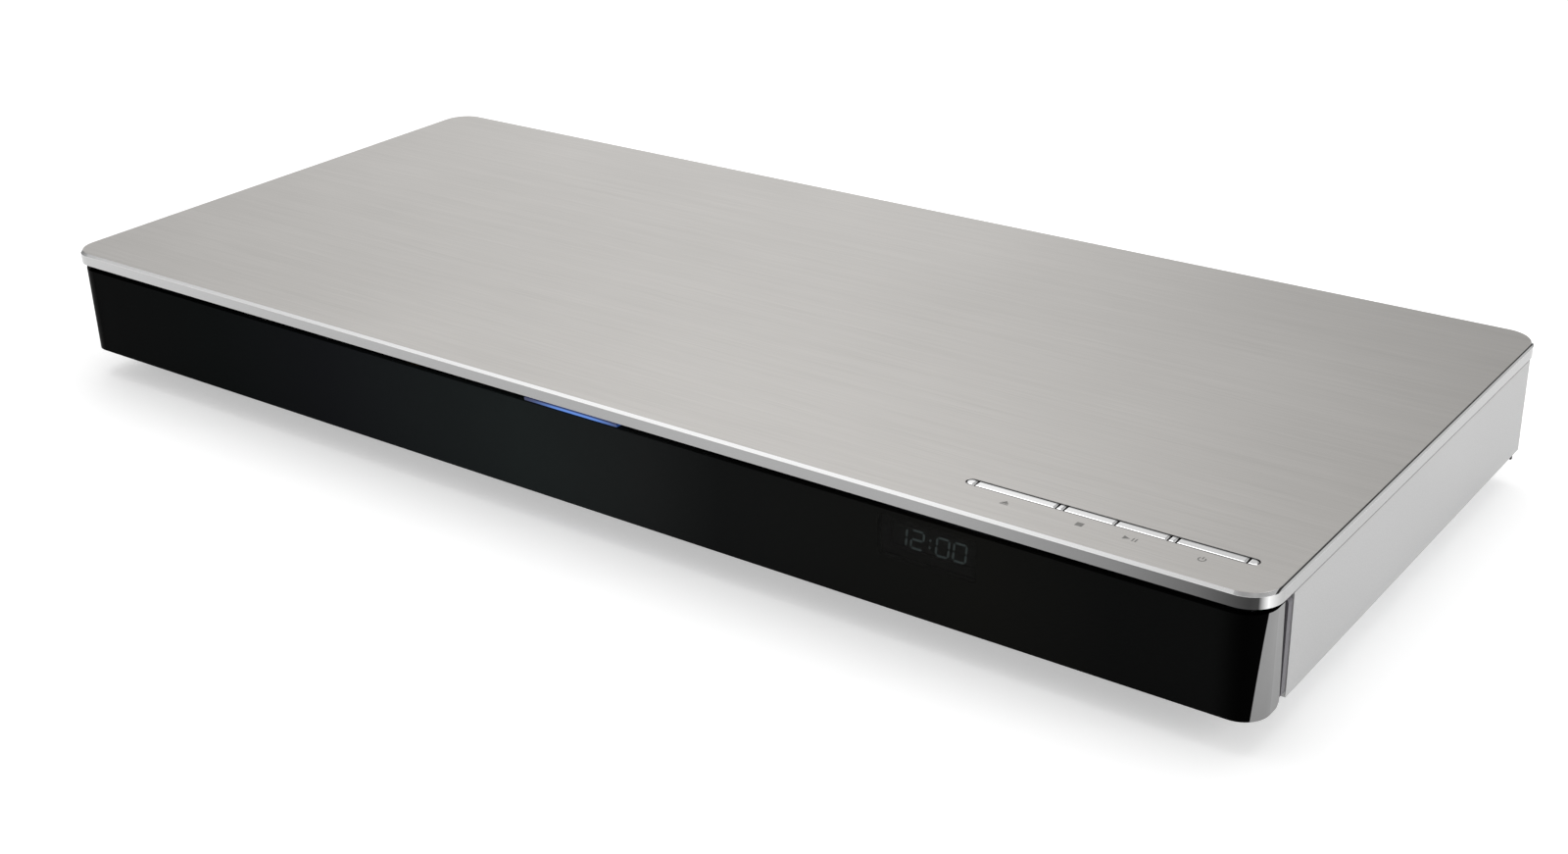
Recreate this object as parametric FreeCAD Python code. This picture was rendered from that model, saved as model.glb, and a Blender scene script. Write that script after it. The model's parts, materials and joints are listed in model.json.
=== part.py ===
import FreeCAD, Part
import math
import os

# A slim disc player: a shell of folded sheet and mouldings, a front flap that drops as the disc tray
# comes out, the disc drive at the left, the main board in the middle and the power supply at the right.
# Origin: middle of the footprint on the floor. +X to the right, +Y to the back, +Z up. Millimetres.

Vec = FreeCAD.Vector

# Driving sizes of the case
case_width = 415.0
case_depth = 182.0
case_height = 43.0
sheet = 1.0

# Clearances between pieces, how deep joined solids run into each other, how far a cut runs past its piece
part_gap = 0.3
seat_gap = 0.02
running_fit = 0.04
screw_fit = 0.1
bite = 0.1
past = 1.0

# Top plate
plate_thickness = 1.2
plate_rim_height = 3.9
plate_rim_wall = 0.8
plate_front_radius = 8.6
plate_rear_radius = 9.2
plate_chamfer = 0.8

# Side, rear and bottom sheets
side_inset = 1.0
side_bottom = 9.8
side_front = 16.6
side_groove = 0.5
side_flange = 12.0
side_flange_front = 24.0
hem_width = 2.0
cover_lug_width = 9.0
cover_lug_height = 10.0
cover_lug_z = 26.0
rear_inset = 6.0
rear_vent_low = 4.0
rear_vent_high = 22.0
drive_vent_inset = 12.0
drive_vent_length = 70.0
pan_bottom = 6.6
pan_step_inset = 8.0
pan_flange_height = 12.0
pan_front = 25.0
pan_vent_margin = 10.0
pan_vent_setback = 17.0
pan_vent_length = 40.0
foot_radius = 11.0
foot_pad_height = 2.2
foot_pad_radius = 9.0
foot_inset_x = 38.0
foot_inset_front = 37.0
foot_inset_rear = 34.0

# Front flap and the hinge that it turns on
flap_side_inset = 1.2
flap_top_drop = 6.0
flap_bottom = 9.2
flap_top_inset = 0.8
flap_bottom_inset = 1.5
flap_wall = 1.8
flap_top_radius = 8.0
flap_bottom_radius = 7.2
flap_depth_top = 12.0
flap_end_cut = 12.0
hinge_inset_y = 10.5
hinge_height = 12.1
hinge_hub_radius = 2.9
hinge_foot_radius = 3.3
hinge_boss_radius = 2.4
hinge_boss_length = 2.8
hinge_pin_radius = 0.9
hinge_pin_length = 6.5

# Front frame behind the flap
frame_face_inset = 5.0
frame_wall = 2.5
frame_top_gap = 0.4
ear_front = 14.1
ear_bottom = 10.4
ear_top_drop = 6.2
ear_round = 1.5
ear_skin = 1.0
ear_web = 6.0
ear_web_top = 20.0
ear_web_drop = 3.5
ear_web_setback = 1.0
tray_slot_side_gap = 0.8
tray_slot_top_gap = 0.9
tray_slot_bottom_gap = 0.9

# Light line above the flap
light_x = 5.0
light_length = 33.0
light_front = 1.0
light_height = 0.9
light_stem_width = 5.0
light_stem_depth = 1.0
light_stem_drop = 2.0

# Clock display and what sits beside it
display_x = 118.0
display_z = 28.3
display_width = 27.0
display_height = 9.0
display_depth = 3.0
display_setback = 0.6
window_margin = 1.0
front_board_gap = 1.5
front_board_thickness = 1.6
front_board_low = 12.0
front_board_high = 26.0
front_board_left_margin = 8.0
front_board_right_margin = 10.0
usb_x = 60.0
usb_z = 22.0
usb_width = 12.6
usb_height = 5.4
usb_length = 13.0
usb_wall = 0.35
usb_setback = 0.3
usb_tongue_height = 1.7
usb_tongue_gap = 0.4
usb_tongue_setback = 1.0
card_x = 26.0
card_z = 21.0
card_width = 25.4
card_height = 3.0
card_length = 20.0
card_wall = 0.5
card_setback = 0.5
card_slot_height = 2.3
sensor_x = 92.0
sensor_z = 24.0
sensor_width = 6.0
sensor_height = 7.0
sensor_setback = 0.8

# Buttons in a slot at the right of the top plate
slot_inset_side = 9.0
slot_inset_front = 15.0
slot_width = 3.4
slot_fit = 0.25
button_gap = 0.4
end_cap_length = 2.4
spacer_length = 1.7
open_button_length = 22.0
stop_button_length = 13.2
play_button_length = 13.2
power_button_length = 17.2
button_travel = 0.4
button_skirt = 4.2
button_round = 0.5
button_foot_width = 2.0
button_foot_length = 4.0
button_foot_height = 1.2
bezel_floor = 1.2
bezel_left_margin = 4.0
bezel_right_margin = 2.5
bezel_window_gap = 0.28
bezel_leg = 3.0
switch_size = 5.0
switch_height = 2.6
switch_body_height = 1.6
switch_stem_radius = 1.2
switch_gap = 0.1
button_board_thickness = 1.6
button_board_depth = 9.5

# Disc tray
drive_inset_x = 102.5
tray_width = 128.0
tray_length = 144.0
tray_front = 25.0
tray_top_drop = 6.5
tray_thickness = 4.6
tray_lip_thickness = 2.6
tray_lip_flat = 4.0
tray_lip_depth = 12.0
disc_radius = 60.0
disc_setback = 64.0
disc_recess = 1.6
disc_play = 1.0
small_disc_radius = 40.0
small_disc_recess = 0.8
finger_radius = 9.0
finger_offset = 1.0
finger_drop = 0.4
tray_slot_half_width = 32.0
tray_hub_gap = 6.0
tray_corner_radius = 3.0
rail_height = 2.4
rail_width = 3.0
rail_root = 1.0
rail_setback = 20.0

# Drive frame
drive_length = 154.0
drive_front = 17.0
drive_wall = 2.0
drive_rear_drop = 2.0
drive_floor_gap = 2.4
drive_floor_thickness = 1.8
drive_guide_gap = 0.5
drive_hole_inset = 4.5
drive_hole_front = 14.0
drive_hole_rear = 6.0
drive_post_radius = 4.0
guide_thickness = 1.6
guide_side_gap = 0.5
guide_tab_length = 12.0
guide_tab_inset = 4.0
rail_lower_gap = 0.2
rail_upper_gap = 0.25

# Gear train under the tray: all teeth are involutes, their heights in modules
pressure_angle = 20.0
rack_module = 1.0
rack_tooth_drop = 0.8
rack_tooth_root = 1.25
rack_inset = 19.0
rack_height = 2.6
rack_body = 3.0
rack_end_gap = 1.0
gear_row_inset = 33.0
tray_gear_teeth = 16
wheel_module = 0.8
wheel_teeth = 36
pinion_teeth = 12
wheel_tooth_tip = 0.75
tooth_root = 1.1
tooth_steps = 5
gear_thickness = 2.2
gear_gap = 0.6
gear_backlash = 0.16
gear_hub_wall = 2.0
gear_shaft_radius = 1.5
shoulder_wall = 2.2
shoulder_gap = 0.2
pulley_radius = 8.0
motor_pulley_radius = 2.6
pulley_thickness = 3.0
pulley_flange = 0.9
pulley_groove_play = 0.3
pulley_hub_wall = 1.6
belt_thickness = 0.9
belt_width = 1.2
belt_gap = 0.25
belt_distance = 36.0
motor_radius = 10.5
motor_lift = 0.8
motor_gap = 1.2
motor_end_wall = 1.0
motor_shaft_radius = 0.8
motor_shaft_tip = 0.4
motor_collar_radius = 2.0
motor_collar_height = 0.6
motor_ear = 4.0
motor_ear_width = 6.0
motor_ear_thickness = 0.8

# Traverse with the spindle, pickup and its drive
traverse_width = 96.0
traverse_rear = 75.0
traverse_front = 32.0
traverse_drop = 7.9
traverse_sheet = 1.2
traverse_web = 4.0
traverse_web_drop = 3.5
traverse_window_gap = 3.0
traverse_pin_radius = 1.5
traverse_pin_length = 8.0
pivot_wrap = 3.0
pivot_bracket = 4.0
pivot_sill = 7.0
spindle_motor_radius = 12.0
spindle_motor_height = 6.5
spindle_shaft_radius = 1.0
spindle_hole_gap = 3.0
spindle_rim = 1.5
spindle_board_width = 20.0
spindle_board_reach = 20.0
spindle_board_thickness = 0.8
turntable_radius = 14.5
turntable_thickness = 1.8
turntable_lift = 0.6
turntable_hub_radius = 7.3
turntable_hub_height = 1.5
turntable_hub_taper = 1.0
turntable_stem_radius = 6.0
pickup_inner = 24.0
pickup_travel = 35.0
pickup_width = 40.0
pickup_length = 20.0
pickup_height = 6.0
pickup_rise = 3.4
pickup_wall = 2.0
pickup_tower_width = 22.0
pickup_arm_height = 2.8
pickup_bush_wall = 1.2
lens_radius = 3.0
lens_height = 1.5
lens_drop = 1.8
lens_dome = 0.3
lens_curve = 1.6
lens_holder_wall = 1.2
rod_radius = 1.5
rod_spacing = 56.0
rod_drop = 3.0
rod_start_setback = 8.0
rod_end_play = 1.0
holder_width = 6.0
holder_depth = 4.0
holder_cover = 2.5
holder_drop = 2.8
screw_radius = 1.5
screw_offset = 9.0
screw_window = 3.5
screw_end_gap = 1.8
screw_tip_radius = 1.05
screw_tip_reach = 0.8
screw_tail_radius = 0.9
screw_tail_reach = 4.0
nut_gap = 0.15
nut_inset = 6.0
sled_motor_radius = 5.5
sled_motor_length = 11.0
sled_motor_gap = 1.0

# Clamp over the disc
bridge_drop = 3.4
bridge_thickness = 0.9
bridge_width = 34.0
bridge_bend = 6.0
bridge_side_gap = 0.2
clamper_radius = 14.0
clamper_neck_radius = 11.0
clamper_side_play = 1.0
clamper_flange = 0.8
clamper_gap = 0.3

# Boards and what stands on them
standoff_height = 4.0
standoff_radius = 3.0
board_thickness = 1.6
drive_board_gap = 5.5
main_board_width = 116.0
main_board_front = 54.0
board_gap = 10.0
power_board_margin = 10.5
power_board_front = 60.0
board_rear_gap = 2.0
board_screw_inset = 4.5
screw_shank_radius = 1.4
screw_head_radius = 2.8
screw_head_height = 1.6
screw_cross_length = 3.4
screw_cross_width = 0.6
processor_setback = 40.0
processor_size = 24.0
memory_offset = 32.0
memory_pitch = 16.0
memory_width = 12.0
memory_depth = 9.0
flash_offset_x = 32.0
flash_offset_y = 6.0
flash_width = 10.0
flash_depth = 14.0
tuner_offset_x = 30.0
tuner_offset_y = 26.0
tuner_size = 9.0
driver_offset_x = 12.0
driver_offset_y = 28.0
driver_width = 14.0
driver_depth = 6.0
chip_height = 1.4
heat_sink_size = 32.0
heat_sink_base = 2.0
heat_sink_fin = 1.2
heat_sink_pitch = 3.8
heat_sink_height = 11.0
transformer_width = 24.0
transformer_depth = 20.0
transformer_height = 19.0
transformer_inset = 36.0
transformer_setback = 58.0
bobbin_inset = 4.0
bobbin_flange = 1.8
capacitor_radius = 8.0
capacitor_height = 20.0
capacitor_inset = 25.0
capacitor_setback = 30.0
small_can_count = 3
small_can_radius = 4.8
small_can_height = 15.0
small_can_inset = 16.0
small_can_pitch = 14.0
small_can_setback = 16.0
ribbon_thickness = 0.3
ribbon_lift = 0.3
ribbon_bend = 4.0
front_ribbon_width = 8.0
front_ribbon_gap = 6.0
drive_ribbon_width = 16.0
drive_ribbon_setback = 10.0
drive_ribbon_reach = 6.0

# Rear sockets, seen through cutouts in the rear panel
socket_cut_gap = 0.4
socket_wall = 0.5
socket_proud = 1.2
hdmi_inset = 60.0
hdmi_width = 15.0
hdmi_height = 5.6
hdmi_length = 12.0
hdmi_tongue_width = 10.5
hdmi_tongue_height = 1.0
hdmi_tongue_setback = 1.0
lan_inset = 81.0
lan_width = 16.0
lan_height = 13.4
lan_length = 18.0
lan_back_wall = 3.0
lan_hole_lift = 2.6
lan_hole_width = 11.8
lan_hole_height = 8.2
lan_key_width = 6.0
lan_key_length = 9.0
lan_key_drop = 1.6
optical_inset = 100.0
optical_width = 9.8
optical_height = 10.0
optical_length = 13.0
optical_back_wall = 4.0
optical_hole = 6.6
optical_hole_lift = 1.6
jack_inset = 42.0
jack_count = 3
jack_pitch = 11.0
jack_radius = 4.2
jack_proud = 5.0
jack_hole_radius = 2.0
jack_hole_depth = 8.0
jack_block_height = 12.0
jack_block_depth = 9.0
jack_level = 7.0
inlet_inset = 23.0
inlet_width = 20.0
inlet_height = 14.0
inlet_length = 20.0
inlet_hole_width = 13.0
inlet_hole_height = 8.6
inlet_hole_depth = 12.0
inlet_pin_radius = 1.2
inlet_pin_spacing = 6.6
inlet_pin_setback = 2.0
vent_width = 2.2
vent_pitch = 5.0

# Places worked out from the sizes above
half_width = case_width / 2
front_y = -case_depth / 2
rear_y = case_depth / 2
plate_under = case_height - plate_thickness
plate_rim_bottom = case_height - plate_rim_height
side_outer = half_width - side_inset
side_inner = side_outer - sheet
side_top = plate_under - part_gap
rear_outer = rear_y - rear_inset
rear_inner = rear_outer - sheet
pan_top = pan_bottom + sheet
pan_rear = rear_inner - part_gap
flap_top = case_height - flap_top_drop
hinge_y = front_y + hinge_inset_y
frame_face = front_y + frame_face_inset
frame_back = frame_face + frame_wall
frame_top = plate_under - frame_top_gap
drive_x = -half_width + drive_inset_x
drive_wall_inner = tray_width / 2 + rail_width + drive_guide_gap
drive_right = drive_x + drive_wall_inner + drive_wall
tray_top = case_height - tray_top_drop
tray_bottom = tray_top - tray_thickness
tray_front_y = front_y + tray_front
tray_rear_y = tray_front_y + tray_length
disc_y = tray_front_y + disc_setback
traverse_level = tray_bottom - traverse_drop
bridge_level = plate_under - bridge_drop
slot_right = half_width - slot_inset_side
slot_y = front_y + slot_inset_front
board_level = pan_top + standoff_height
board_top = board_level + board_thickness
board_rear = rear_inner - board_rear_gap
main_board_left = drive_right + drive_board_gap
main_board_right = main_board_left + main_board_width
power_board_left = main_board_right + board_gap
power_board_right = side_inner - power_board_margin
jack_x = main_board_left + jack_inset
hdmi_x = main_board_left + hdmi_inset
lan_x = main_board_left + lan_inset
optical_x = main_board_left + optical_inset
inlet_x = power_board_right - inlet_inset


def box(x0, x1, y0, y1, z0, z1):
    return Part.makeBox(x1 - x0, y1 - y0, z1 - z0, Vec(x0, y0, z0))


def centred_box(x, width, y0, y1, z0, z1):
    return box(x - width / 2, x + width / 2, y0, y1, z0, z1)


def post(x, y, z0, z1, radius):
    return Part.makeCylinder(radius, z1 - z0, Vec(x, y, z0))


def bar_along_x(x0, x1, y, z, radius):
    return Part.makeCylinder(radius, x1 - x0, Vec(x0, y, z), Vec(1, 0, 0))


def bar_along_y(x, y0, y1, z, radius):
    return Part.makeCylinder(radius, y1 - y0, Vec(x, y0, z), Vec(0, 1, 0))


def ring(x, y, z0, z1, outer, inner):
    return post(x, y, z0, z1, outer).cut(post(x, y, z0, z1, inner))


def face_of(points):
    loop = [Vec(*p) for p in points]
    return Part.Face(Part.makePolygon(loop + loop[:1]))


def join(shapes):
    return shapes[0].multiFuse(shapes[1:]).removeSplitter()


def group(shapes):
    return Part.makeCompound(shapes)


# A rectangle with its own corner radius at the front and the rear, as a wire at one height
def plate_wire(half, y0, y1, r_front, r_rear, z):
    corners = [(-half, y0, r_front), (half, y0, r_front), (half, y1, r_rear), (-half, y1, r_rear)]
    starts = [(-1, 0), (0, -1), (1, 0), (0, 1)]
    edges = []
    ends = []
    for (x, y, r), (ax, ay) in zip(corners, starts):
        cx = x - math.copysign(r, x)
        cy = y + (r if y == y0 else -r)
        first = Vec(cx + ax * r, cy + ay * r, z)
        bx, by = -ay, ax
        last = Vec(cx + bx * r, cy + by * r, z)
        half_turn = math.sqrt(0.5)
        mid = Vec(cx + (ax + bx) * half_turn * r, cy + (ay + by) * half_turn * r, z)
        ends.append((first, last))
        edges.append(Part.Arc(first, mid, last).toShape())
    for i in range(4):
        edges.append(Part.LineSegment(ends[i][1], ends[(i + 1) % 4][0]).toShape())
    return Part.Wire(Part.__sortEdges__(edges))


def plate_prism(half, y0, y1, r_front, r_rear, z0, z1):
    return Part.Face(plate_wire(half, y0, y1, r_front, r_rear, z0)).extrude(Vec(0, 0, z1 - z0))


# A slot with round ends along X
def slot_prism(x0, x1, y, width, z0, z1):
    r = width / 2
    return join([box(x0 + r, x1 - r, y - r, y + r, z0, z1), post(x0 + r, y, z0, z1, r), post(x1 - r, y, z0, z1, r)])


# The open U of the flap seen from above, as a closed wire at one height
def flap_wire(half, y_front, y_rear, radius, z):
    turn = radius * (1 - math.sqrt(0.5))
    left_side = Vec(-half, y_front + radius, z)
    left_front = Vec(-half + radius, y_front, z)
    right_front = Vec(half - radius, y_front, z)
    right_side = Vec(half, y_front + radius, z)
    edges = [
        Part.LineSegment(Vec(-half, y_rear, z), left_side).toShape(),
        Part.Arc(left_side, Vec(-half + turn, y_front + turn, z), left_front).toShape(),
        Part.LineSegment(left_front, right_front).toShape(),
        Part.Arc(right_front, Vec(half - turn, y_front + turn, z), right_side).toShape(),
        Part.LineSegment(right_side, Vec(half, y_rear, z)).toShape(),
        Part.LineSegment(Vec(half, y_rear, z), Vec(-half, y_rear, z)).toShape(),
    ]
    return Part.Wire(edges)


def flap_block(offset, extra):
    half = half_width - flap_side_inset - offset
    y_rear = hinge_y + hinge_hub_radius
    low = flap_wire(half, front_y + flap_bottom_inset + offset, y_rear, flap_bottom_radius - offset, flap_bottom)
    high = flap_wire(half, front_y + flap_top_inset + offset, y_rear, flap_top_radius - offset, flap_top)
    if not extra:
        return Part.makeLoft([low, high], True, True)
    # The hollow runs a little past the wall at both ends and at the back
    span = flap_top - flap_bottom
    rise = extra / span
    lean = flap_bottom_inset - flap_top_inset
    swell = flap_top_radius - flap_bottom_radius
    below = flap_wire(half, front_y + flap_bottom_inset + lean * rise + offset, y_rear + extra,
                      flap_bottom_radius - swell * rise - offset, flap_bottom - extra)
    above = flap_wire(half, front_y + flap_top_inset - lean * rise + offset, y_rear + extra,
                      flap_top_radius + swell * rise - offset, flap_top + extra)
    return Part.makeLoft([below, above], True, True)


# Involute flank points of one tooth, mirrored for the other flank, then a straight root
def gear_face(teeth, module, addendum, dedendum, phase_deg):
    pressure = math.radians(pressure_angle)
    pitch_r = teeth * module / 2
    base_r = pitch_r * math.cos(pressure)
    tip_r = pitch_r + addendum
    root_r = pitch_r - dedendum
    half_tooth = math.pi / (2 * teeth) - gear_backlash / (2 * pitch_r)
    spread = math.tan(pressure) - pressure

    def half_angle(r):
        if r <= base_r:
            return half_tooth + spread
        tilt = math.acos(base_r / r)
        return half_tooth + spread - (math.tan(tilt) - tilt)

    low_r = max(root_r, base_r)
    radii = [low_r + (tip_r - low_r) * i / tooth_steps for i in range(tooth_steps + 1)]
    if root_r < base_r:
        radii = [root_r] + radii
    points = []
    for tooth in range(teeth):
        centre = math.radians(phase_deg) + 2 * math.pi * tooth / teeth
        for r in radii:
            angle = centre - half_angle(r)
            points.append((r * math.cos(angle), r * math.sin(angle), 0))
        for r in reversed(radii):
            angle = centre + half_angle(r)
            points.append((r * math.cos(angle), r * math.sin(angle), 0))
    return face_of(points)


def gear(x, y, z, thickness, teeth, module, addendum, dedendum, phase_deg):
    shape = gear_face(teeth, module, addendum, dedendum, phase_deg).extrude(Vec(0, 0, thickness))
    shape.translate(Vec(x, y, z))
    return shape


def screw(x, y, z_seat, length):
    top = z_seat + screw_head_height
    shank = post(x, y, z_seat - length, z_seat, screw_shank_radius)
    head = post(x, y, z_seat, top, screw_head_radius)
    a, b = screw_cross_length / 2, screw_cross_width / 2
    z0 = z_seat + screw_head_height / 2
    cross = join([box(x - a, x + a, y - b, y + b, z0, top), box(x - b, x + b, y - a, y + a, z0, top)])
    return join([shank, head]).cut(cross)


# Case

def button_places():
    # From the right end of the slot to the left: end cap, power, spacer, play, stop, spacer, open, end cap
    x = slot_right - slot_fit
    places = {}
    caps = [(x - end_cap_length, x)]
    x = caps[0][0] - button_gap
    for name, length, spacer_after in [
        ("power", power_button_length, True),
        ("play", play_button_length, False),
        ("stop", stop_button_length, True),
        ("open_close", open_button_length, False),
    ]:
        places[name] = (x - length, x)
        x = x - length - button_gap
        if spacer_after:
            caps.append((x - spacer_length, x))
            x = x - spacer_length - button_gap
    caps.append((x - end_cap_length, x))
    return places, caps


def slot_left():
    return button_places()[1][-1][0] - slot_fit


def top_plate():
    outer = plate_prism(half_width, front_y, rear_y, plate_front_radius, plate_rear_radius,
                        plate_rim_bottom, case_height)
    top_edges = [e for e in outer.Edges if e.BoundBox.ZMin > case_height - seat_gap]
    outer = outer.makeChamfer(plate_chamfer, top_edges)
    w = plate_rim_wall
    hollow = plate_prism(half_width - w, front_y + w, rear_y - w, plate_front_radius - w,
                         plate_rear_radius - w, plate_rim_bottom - past, plate_under)
    slot = slot_prism(slot_left(), slot_right, slot_y, slot_width, plate_under - past, case_height + past)
    return outer.cut(hollow).cut(slot)


# Takes away what would foul the plate's rim and its round corners
def clear_of_rim(shape):
    inset = side_inset - seat_gap / 2
    reach = 5 * past
    big = box(-half_width - reach, half_width + reach, front_y - reach, rear_y + reach,
              plate_rim_bottom - part_gap, case_height)
    inner = plate_prism(half_width - inset, front_y + inset, rear_y - inset, plate_front_radius - inset,
                        plate_rear_radius - inset, plate_rim_bottom - past, case_height + past)
    return shape.cut(big.cut(inner))


def cover_screw_place():
    return side_inner - cover_lug_width / 2, cover_lug_z + cover_lug_height / 2


def side_panel(sign):
    y0, y1 = front_y + side_front, rear_outer
    back = rear_inner - part_gap
    # The sheet steps inwards below the plate's rim, which leaves a thin groove under it
    shoulder = plate_rim_bottom - side_groove
    wall = box(side_inner, side_outer, y0, y1, side_bottom, shoulder)
    step = box(side_inner - sheet, side_outer, y0, back, shoulder - sheet, shoulder)
    neck = box(side_inner - sheet, side_inner, y0, back, shoulder - sheet, side_top)
    flange = box(side_outer - side_flange, side_inner, front_y + side_flange_front, back, side_top - sheet, side_top)
    hem = box(side_inner - hem_width, side_inner + sheet, y0, back, side_bottom, side_bottom + sheet)
    lug_y = rear_inner - part_gap / 3
    lug = box(side_inner - cover_lug_width, side_outer, lug_y - sheet, lug_y, cover_lug_z,
              cover_lug_z + cover_lug_height)
    x, z = cover_screw_place()
    hole = bar_along_y(x, lug_y - sheet - past, lug_y + past, z, screw_shank_radius + screw_fit)
    shape = clear_of_rim(join([wall, step, neck, flange, hem, lug])).cut(hole)
    if sign < 0:
        shape = shape.mirror(Vec(0, 0, 0), Vec(1, 0, 0))
    return shape


def vent_row(x0, x1, y0, y1, z0, z1, pitch):
    count = int((x1 - x0 - vent_width) // pitch) + 1
    start = (x0 + x1) / 2 - (count - 1) * pitch / 2
    slots = []
    for i in range(count):
        x = start + i * pitch
        slots.append(box(x - vent_width / 2, x + vent_width / 2, y0, y1, z0, z1))
    return slots


def socket_cut(x, width, z0, height):
    g = socket_cut_gap
    return centred_box(x, width + 2 * g, rear_inner - past, rear_outer + past, z0 - g, z0 + height + g)


def rear_panel():
    half = side_inner - part_gap
    shape = box(-half, half, rear_inner, rear_outer, pan_bottom, side_top - sheet - part_gap)
    cuts = [
        socket_cut(hdmi_x, hdmi_width, board_top, hdmi_height),
        socket_cut(lan_x, lan_width, board_top, lan_height),
        socket_cut(optical_x, optical_width, board_top, optical_height),
        socket_cut(inlet_x, inlet_width, board_top, inlet_height),
    ]
    y0, y1 = rear_inner - past, rear_outer + past
    for i in range(jack_count):
        x = jack_x - i * jack_pitch
        cuts.append(bar_along_y(x, y0, y1, board_top + jack_level, jack_radius + socket_cut_gap))
    low, high = board_top + rear_vent_low, board_top + rear_vent_high
    cuts += vent_row(power_board_left, inlet_x - inlet_width, y0, y1, low, high, vent_pitch)
    left = -half + drive_vent_inset
    cuts += vent_row(left, left + drive_vent_length, y0, y1, low, high, vent_pitch)
    x, z = cover_screw_place()
    for sign in (-1, 1):
        cuts.append(bar_along_y(sign * x, y0, y1, z, screw_shank_radius + screw_fit))
    return clear_of_rim(shape).cut(group(cuts))


def foot_places():
    xs = half_width - foot_inset_x
    ys = (front_y + foot_inset_front, rear_y - foot_inset_rear)
    return [(sx * xs, y) for y in ys for sx in (-1, 1)]


def standoff_places(left, right, front):
    i = board_screw_inset
    return [(x, y) for x in (left + i, right - i) for y in (front + i, board_rear - i)]


def main_board_holes():
    return standoff_places(main_board_left, main_board_right, front_y + main_board_front)


def power_board_holes():
    return standoff_places(power_board_left, power_board_right, front_y + power_board_front)


def drive_holes():
    inset = drive_wall_inner - drive_hole_inset
    y0 = front_y + drive_front
    ys = (y0 + drive_hole_front, y0 + drive_length - drive_hole_rear)
    return [(drive_x + sx * inset, y) for sx in (-1, 1) for y in ys]


def bottom_chassis():
    y0, y1 = front_y + pan_front, pan_rear
    floor_half = side_inner - pan_step_inset
    outer = side_inner - part_gap
    shelf = side_bottom + sheet + part_gap
    shapes = [box(-floor_half, floor_half, y0, y1, pan_bottom, pan_top)]
    for sign in (-1, 1):
        riser = sorted([sign * (floor_half - sheet), sign * floor_half])
        ledge = sorted([sign * (floor_half - sheet), sign * outer])
        wall = sorted([sign * (outer - sheet), sign * outer])
        shapes.append(box(riser[0], riser[1], y0, y1, pan_bottom, shelf + sheet))
        shapes.append(box(ledge[0], ledge[1], y0, y1, shelf, shelf + sheet))
        shapes.append(box(wall[0], wall[1], y0, y1, shelf, shelf + pan_flange_height))
    for x, y in main_board_holes() + power_board_holes():
        shapes.append(post(x, y, pan_bottom, board_level, standoff_radius))
    for x, y in drive_holes():
        shapes.append(post(x, y, pan_bottom, pan_top + drive_floor_gap, drive_post_radius))
    pan = join(shapes)
    low, high = pan_bottom - past, pan_top + past
    cuts = []
    for x, y in main_board_holes() + power_board_holes() + drive_holes():
        cuts.append(post(x, y, low, board_level + past, screw_shank_radius + screw_fit))
    margin = pan_vent_margin
    for left, right, board_front in [(main_board_left, main_board_right, main_board_front),
                                     (power_board_left, power_board_right, power_board_front)]:
        y = front_y + board_front + pan_vent_setback
        cuts += vent_row(left + margin, right - margin, y, y + pan_vent_length, low, high, vent_pitch)
    return pan.cut(group(cuts))


def feet():
    pads = []
    for x, y in foot_places():
        base = post(x, y, foot_pad_height, pan_bottom, foot_radius)
        pad = post(x, y, 0, foot_pad_height, foot_pad_radius)
        pads.append(join([base, pad]))
    return group(pads)


# Flap and its hinge

def front_flap():
    shell = flap_block(0, 0).cut(flap_block(flap_wall, 2 * past))
    half = half_width - flap_side_inset
    shapes = [shell]
    for sign in (-1, 1):
        inner = half - flap_wall
        xs = sorted([sign * (inner - hinge_boss_length), sign * (inner + flap_wall / 2)])
        shapes.append(bar_along_x(xs[0], xs[1], hinge_y, hinge_height, hinge_boss_radius))
    flap = join(shapes)
    # The back edge of each end slants, and its foot is cut back to swing past the frame
    r = hinge_foot_radius
    rear = hinge_y + hinge_hub_radius
    top_rear = front_y + flap_depth_top
    span = flap_end_cut + past
    wedge = face_of([(0, rear, hinge_height), (0, rear + span, hinge_height), (0, rear + span, flap_top + span),
                     (0, top_rear, flap_top + seat_gap), (0, top_rear, flap_top)])
    for sign in (-1, 1):
        x0 = min(sign * (half + past), sign * (half - flap_end_cut))
        back = wedge.extrude(Vec(span, 0, 0))
        back.translate(Vec(x0, 0, 0))
        block = box(x0, x0 + span, hinge_y, rear + past, hinge_height - r - past, hinge_height)
        block = block.cut(bar_along_x(x0 - past, x0 + span + past, hinge_y, hinge_height, r))
        flap = flap.cut(back).cut(block)
        inner = half - flap_wall
        xs = sorted([sign * (inner - hinge_boss_length - past), sign * inner])
        flap = flap.cut(bar_along_x(xs[0], xs[1], hinge_y, hinge_height, hinge_pin_radius + running_fit))
    return flap


def flap_pins():
    tip = half_width - flap_side_inset - flap_wall - part_gap
    pins = []
    for sign in (-1, 1):
        xs = sorted([sign * tip, sign * (tip - hinge_pin_length)])
        pins.append(bar_along_x(xs[0], xs[1], hinge_y, hinge_height, hinge_pin_radius))
    return group(pins)


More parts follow.
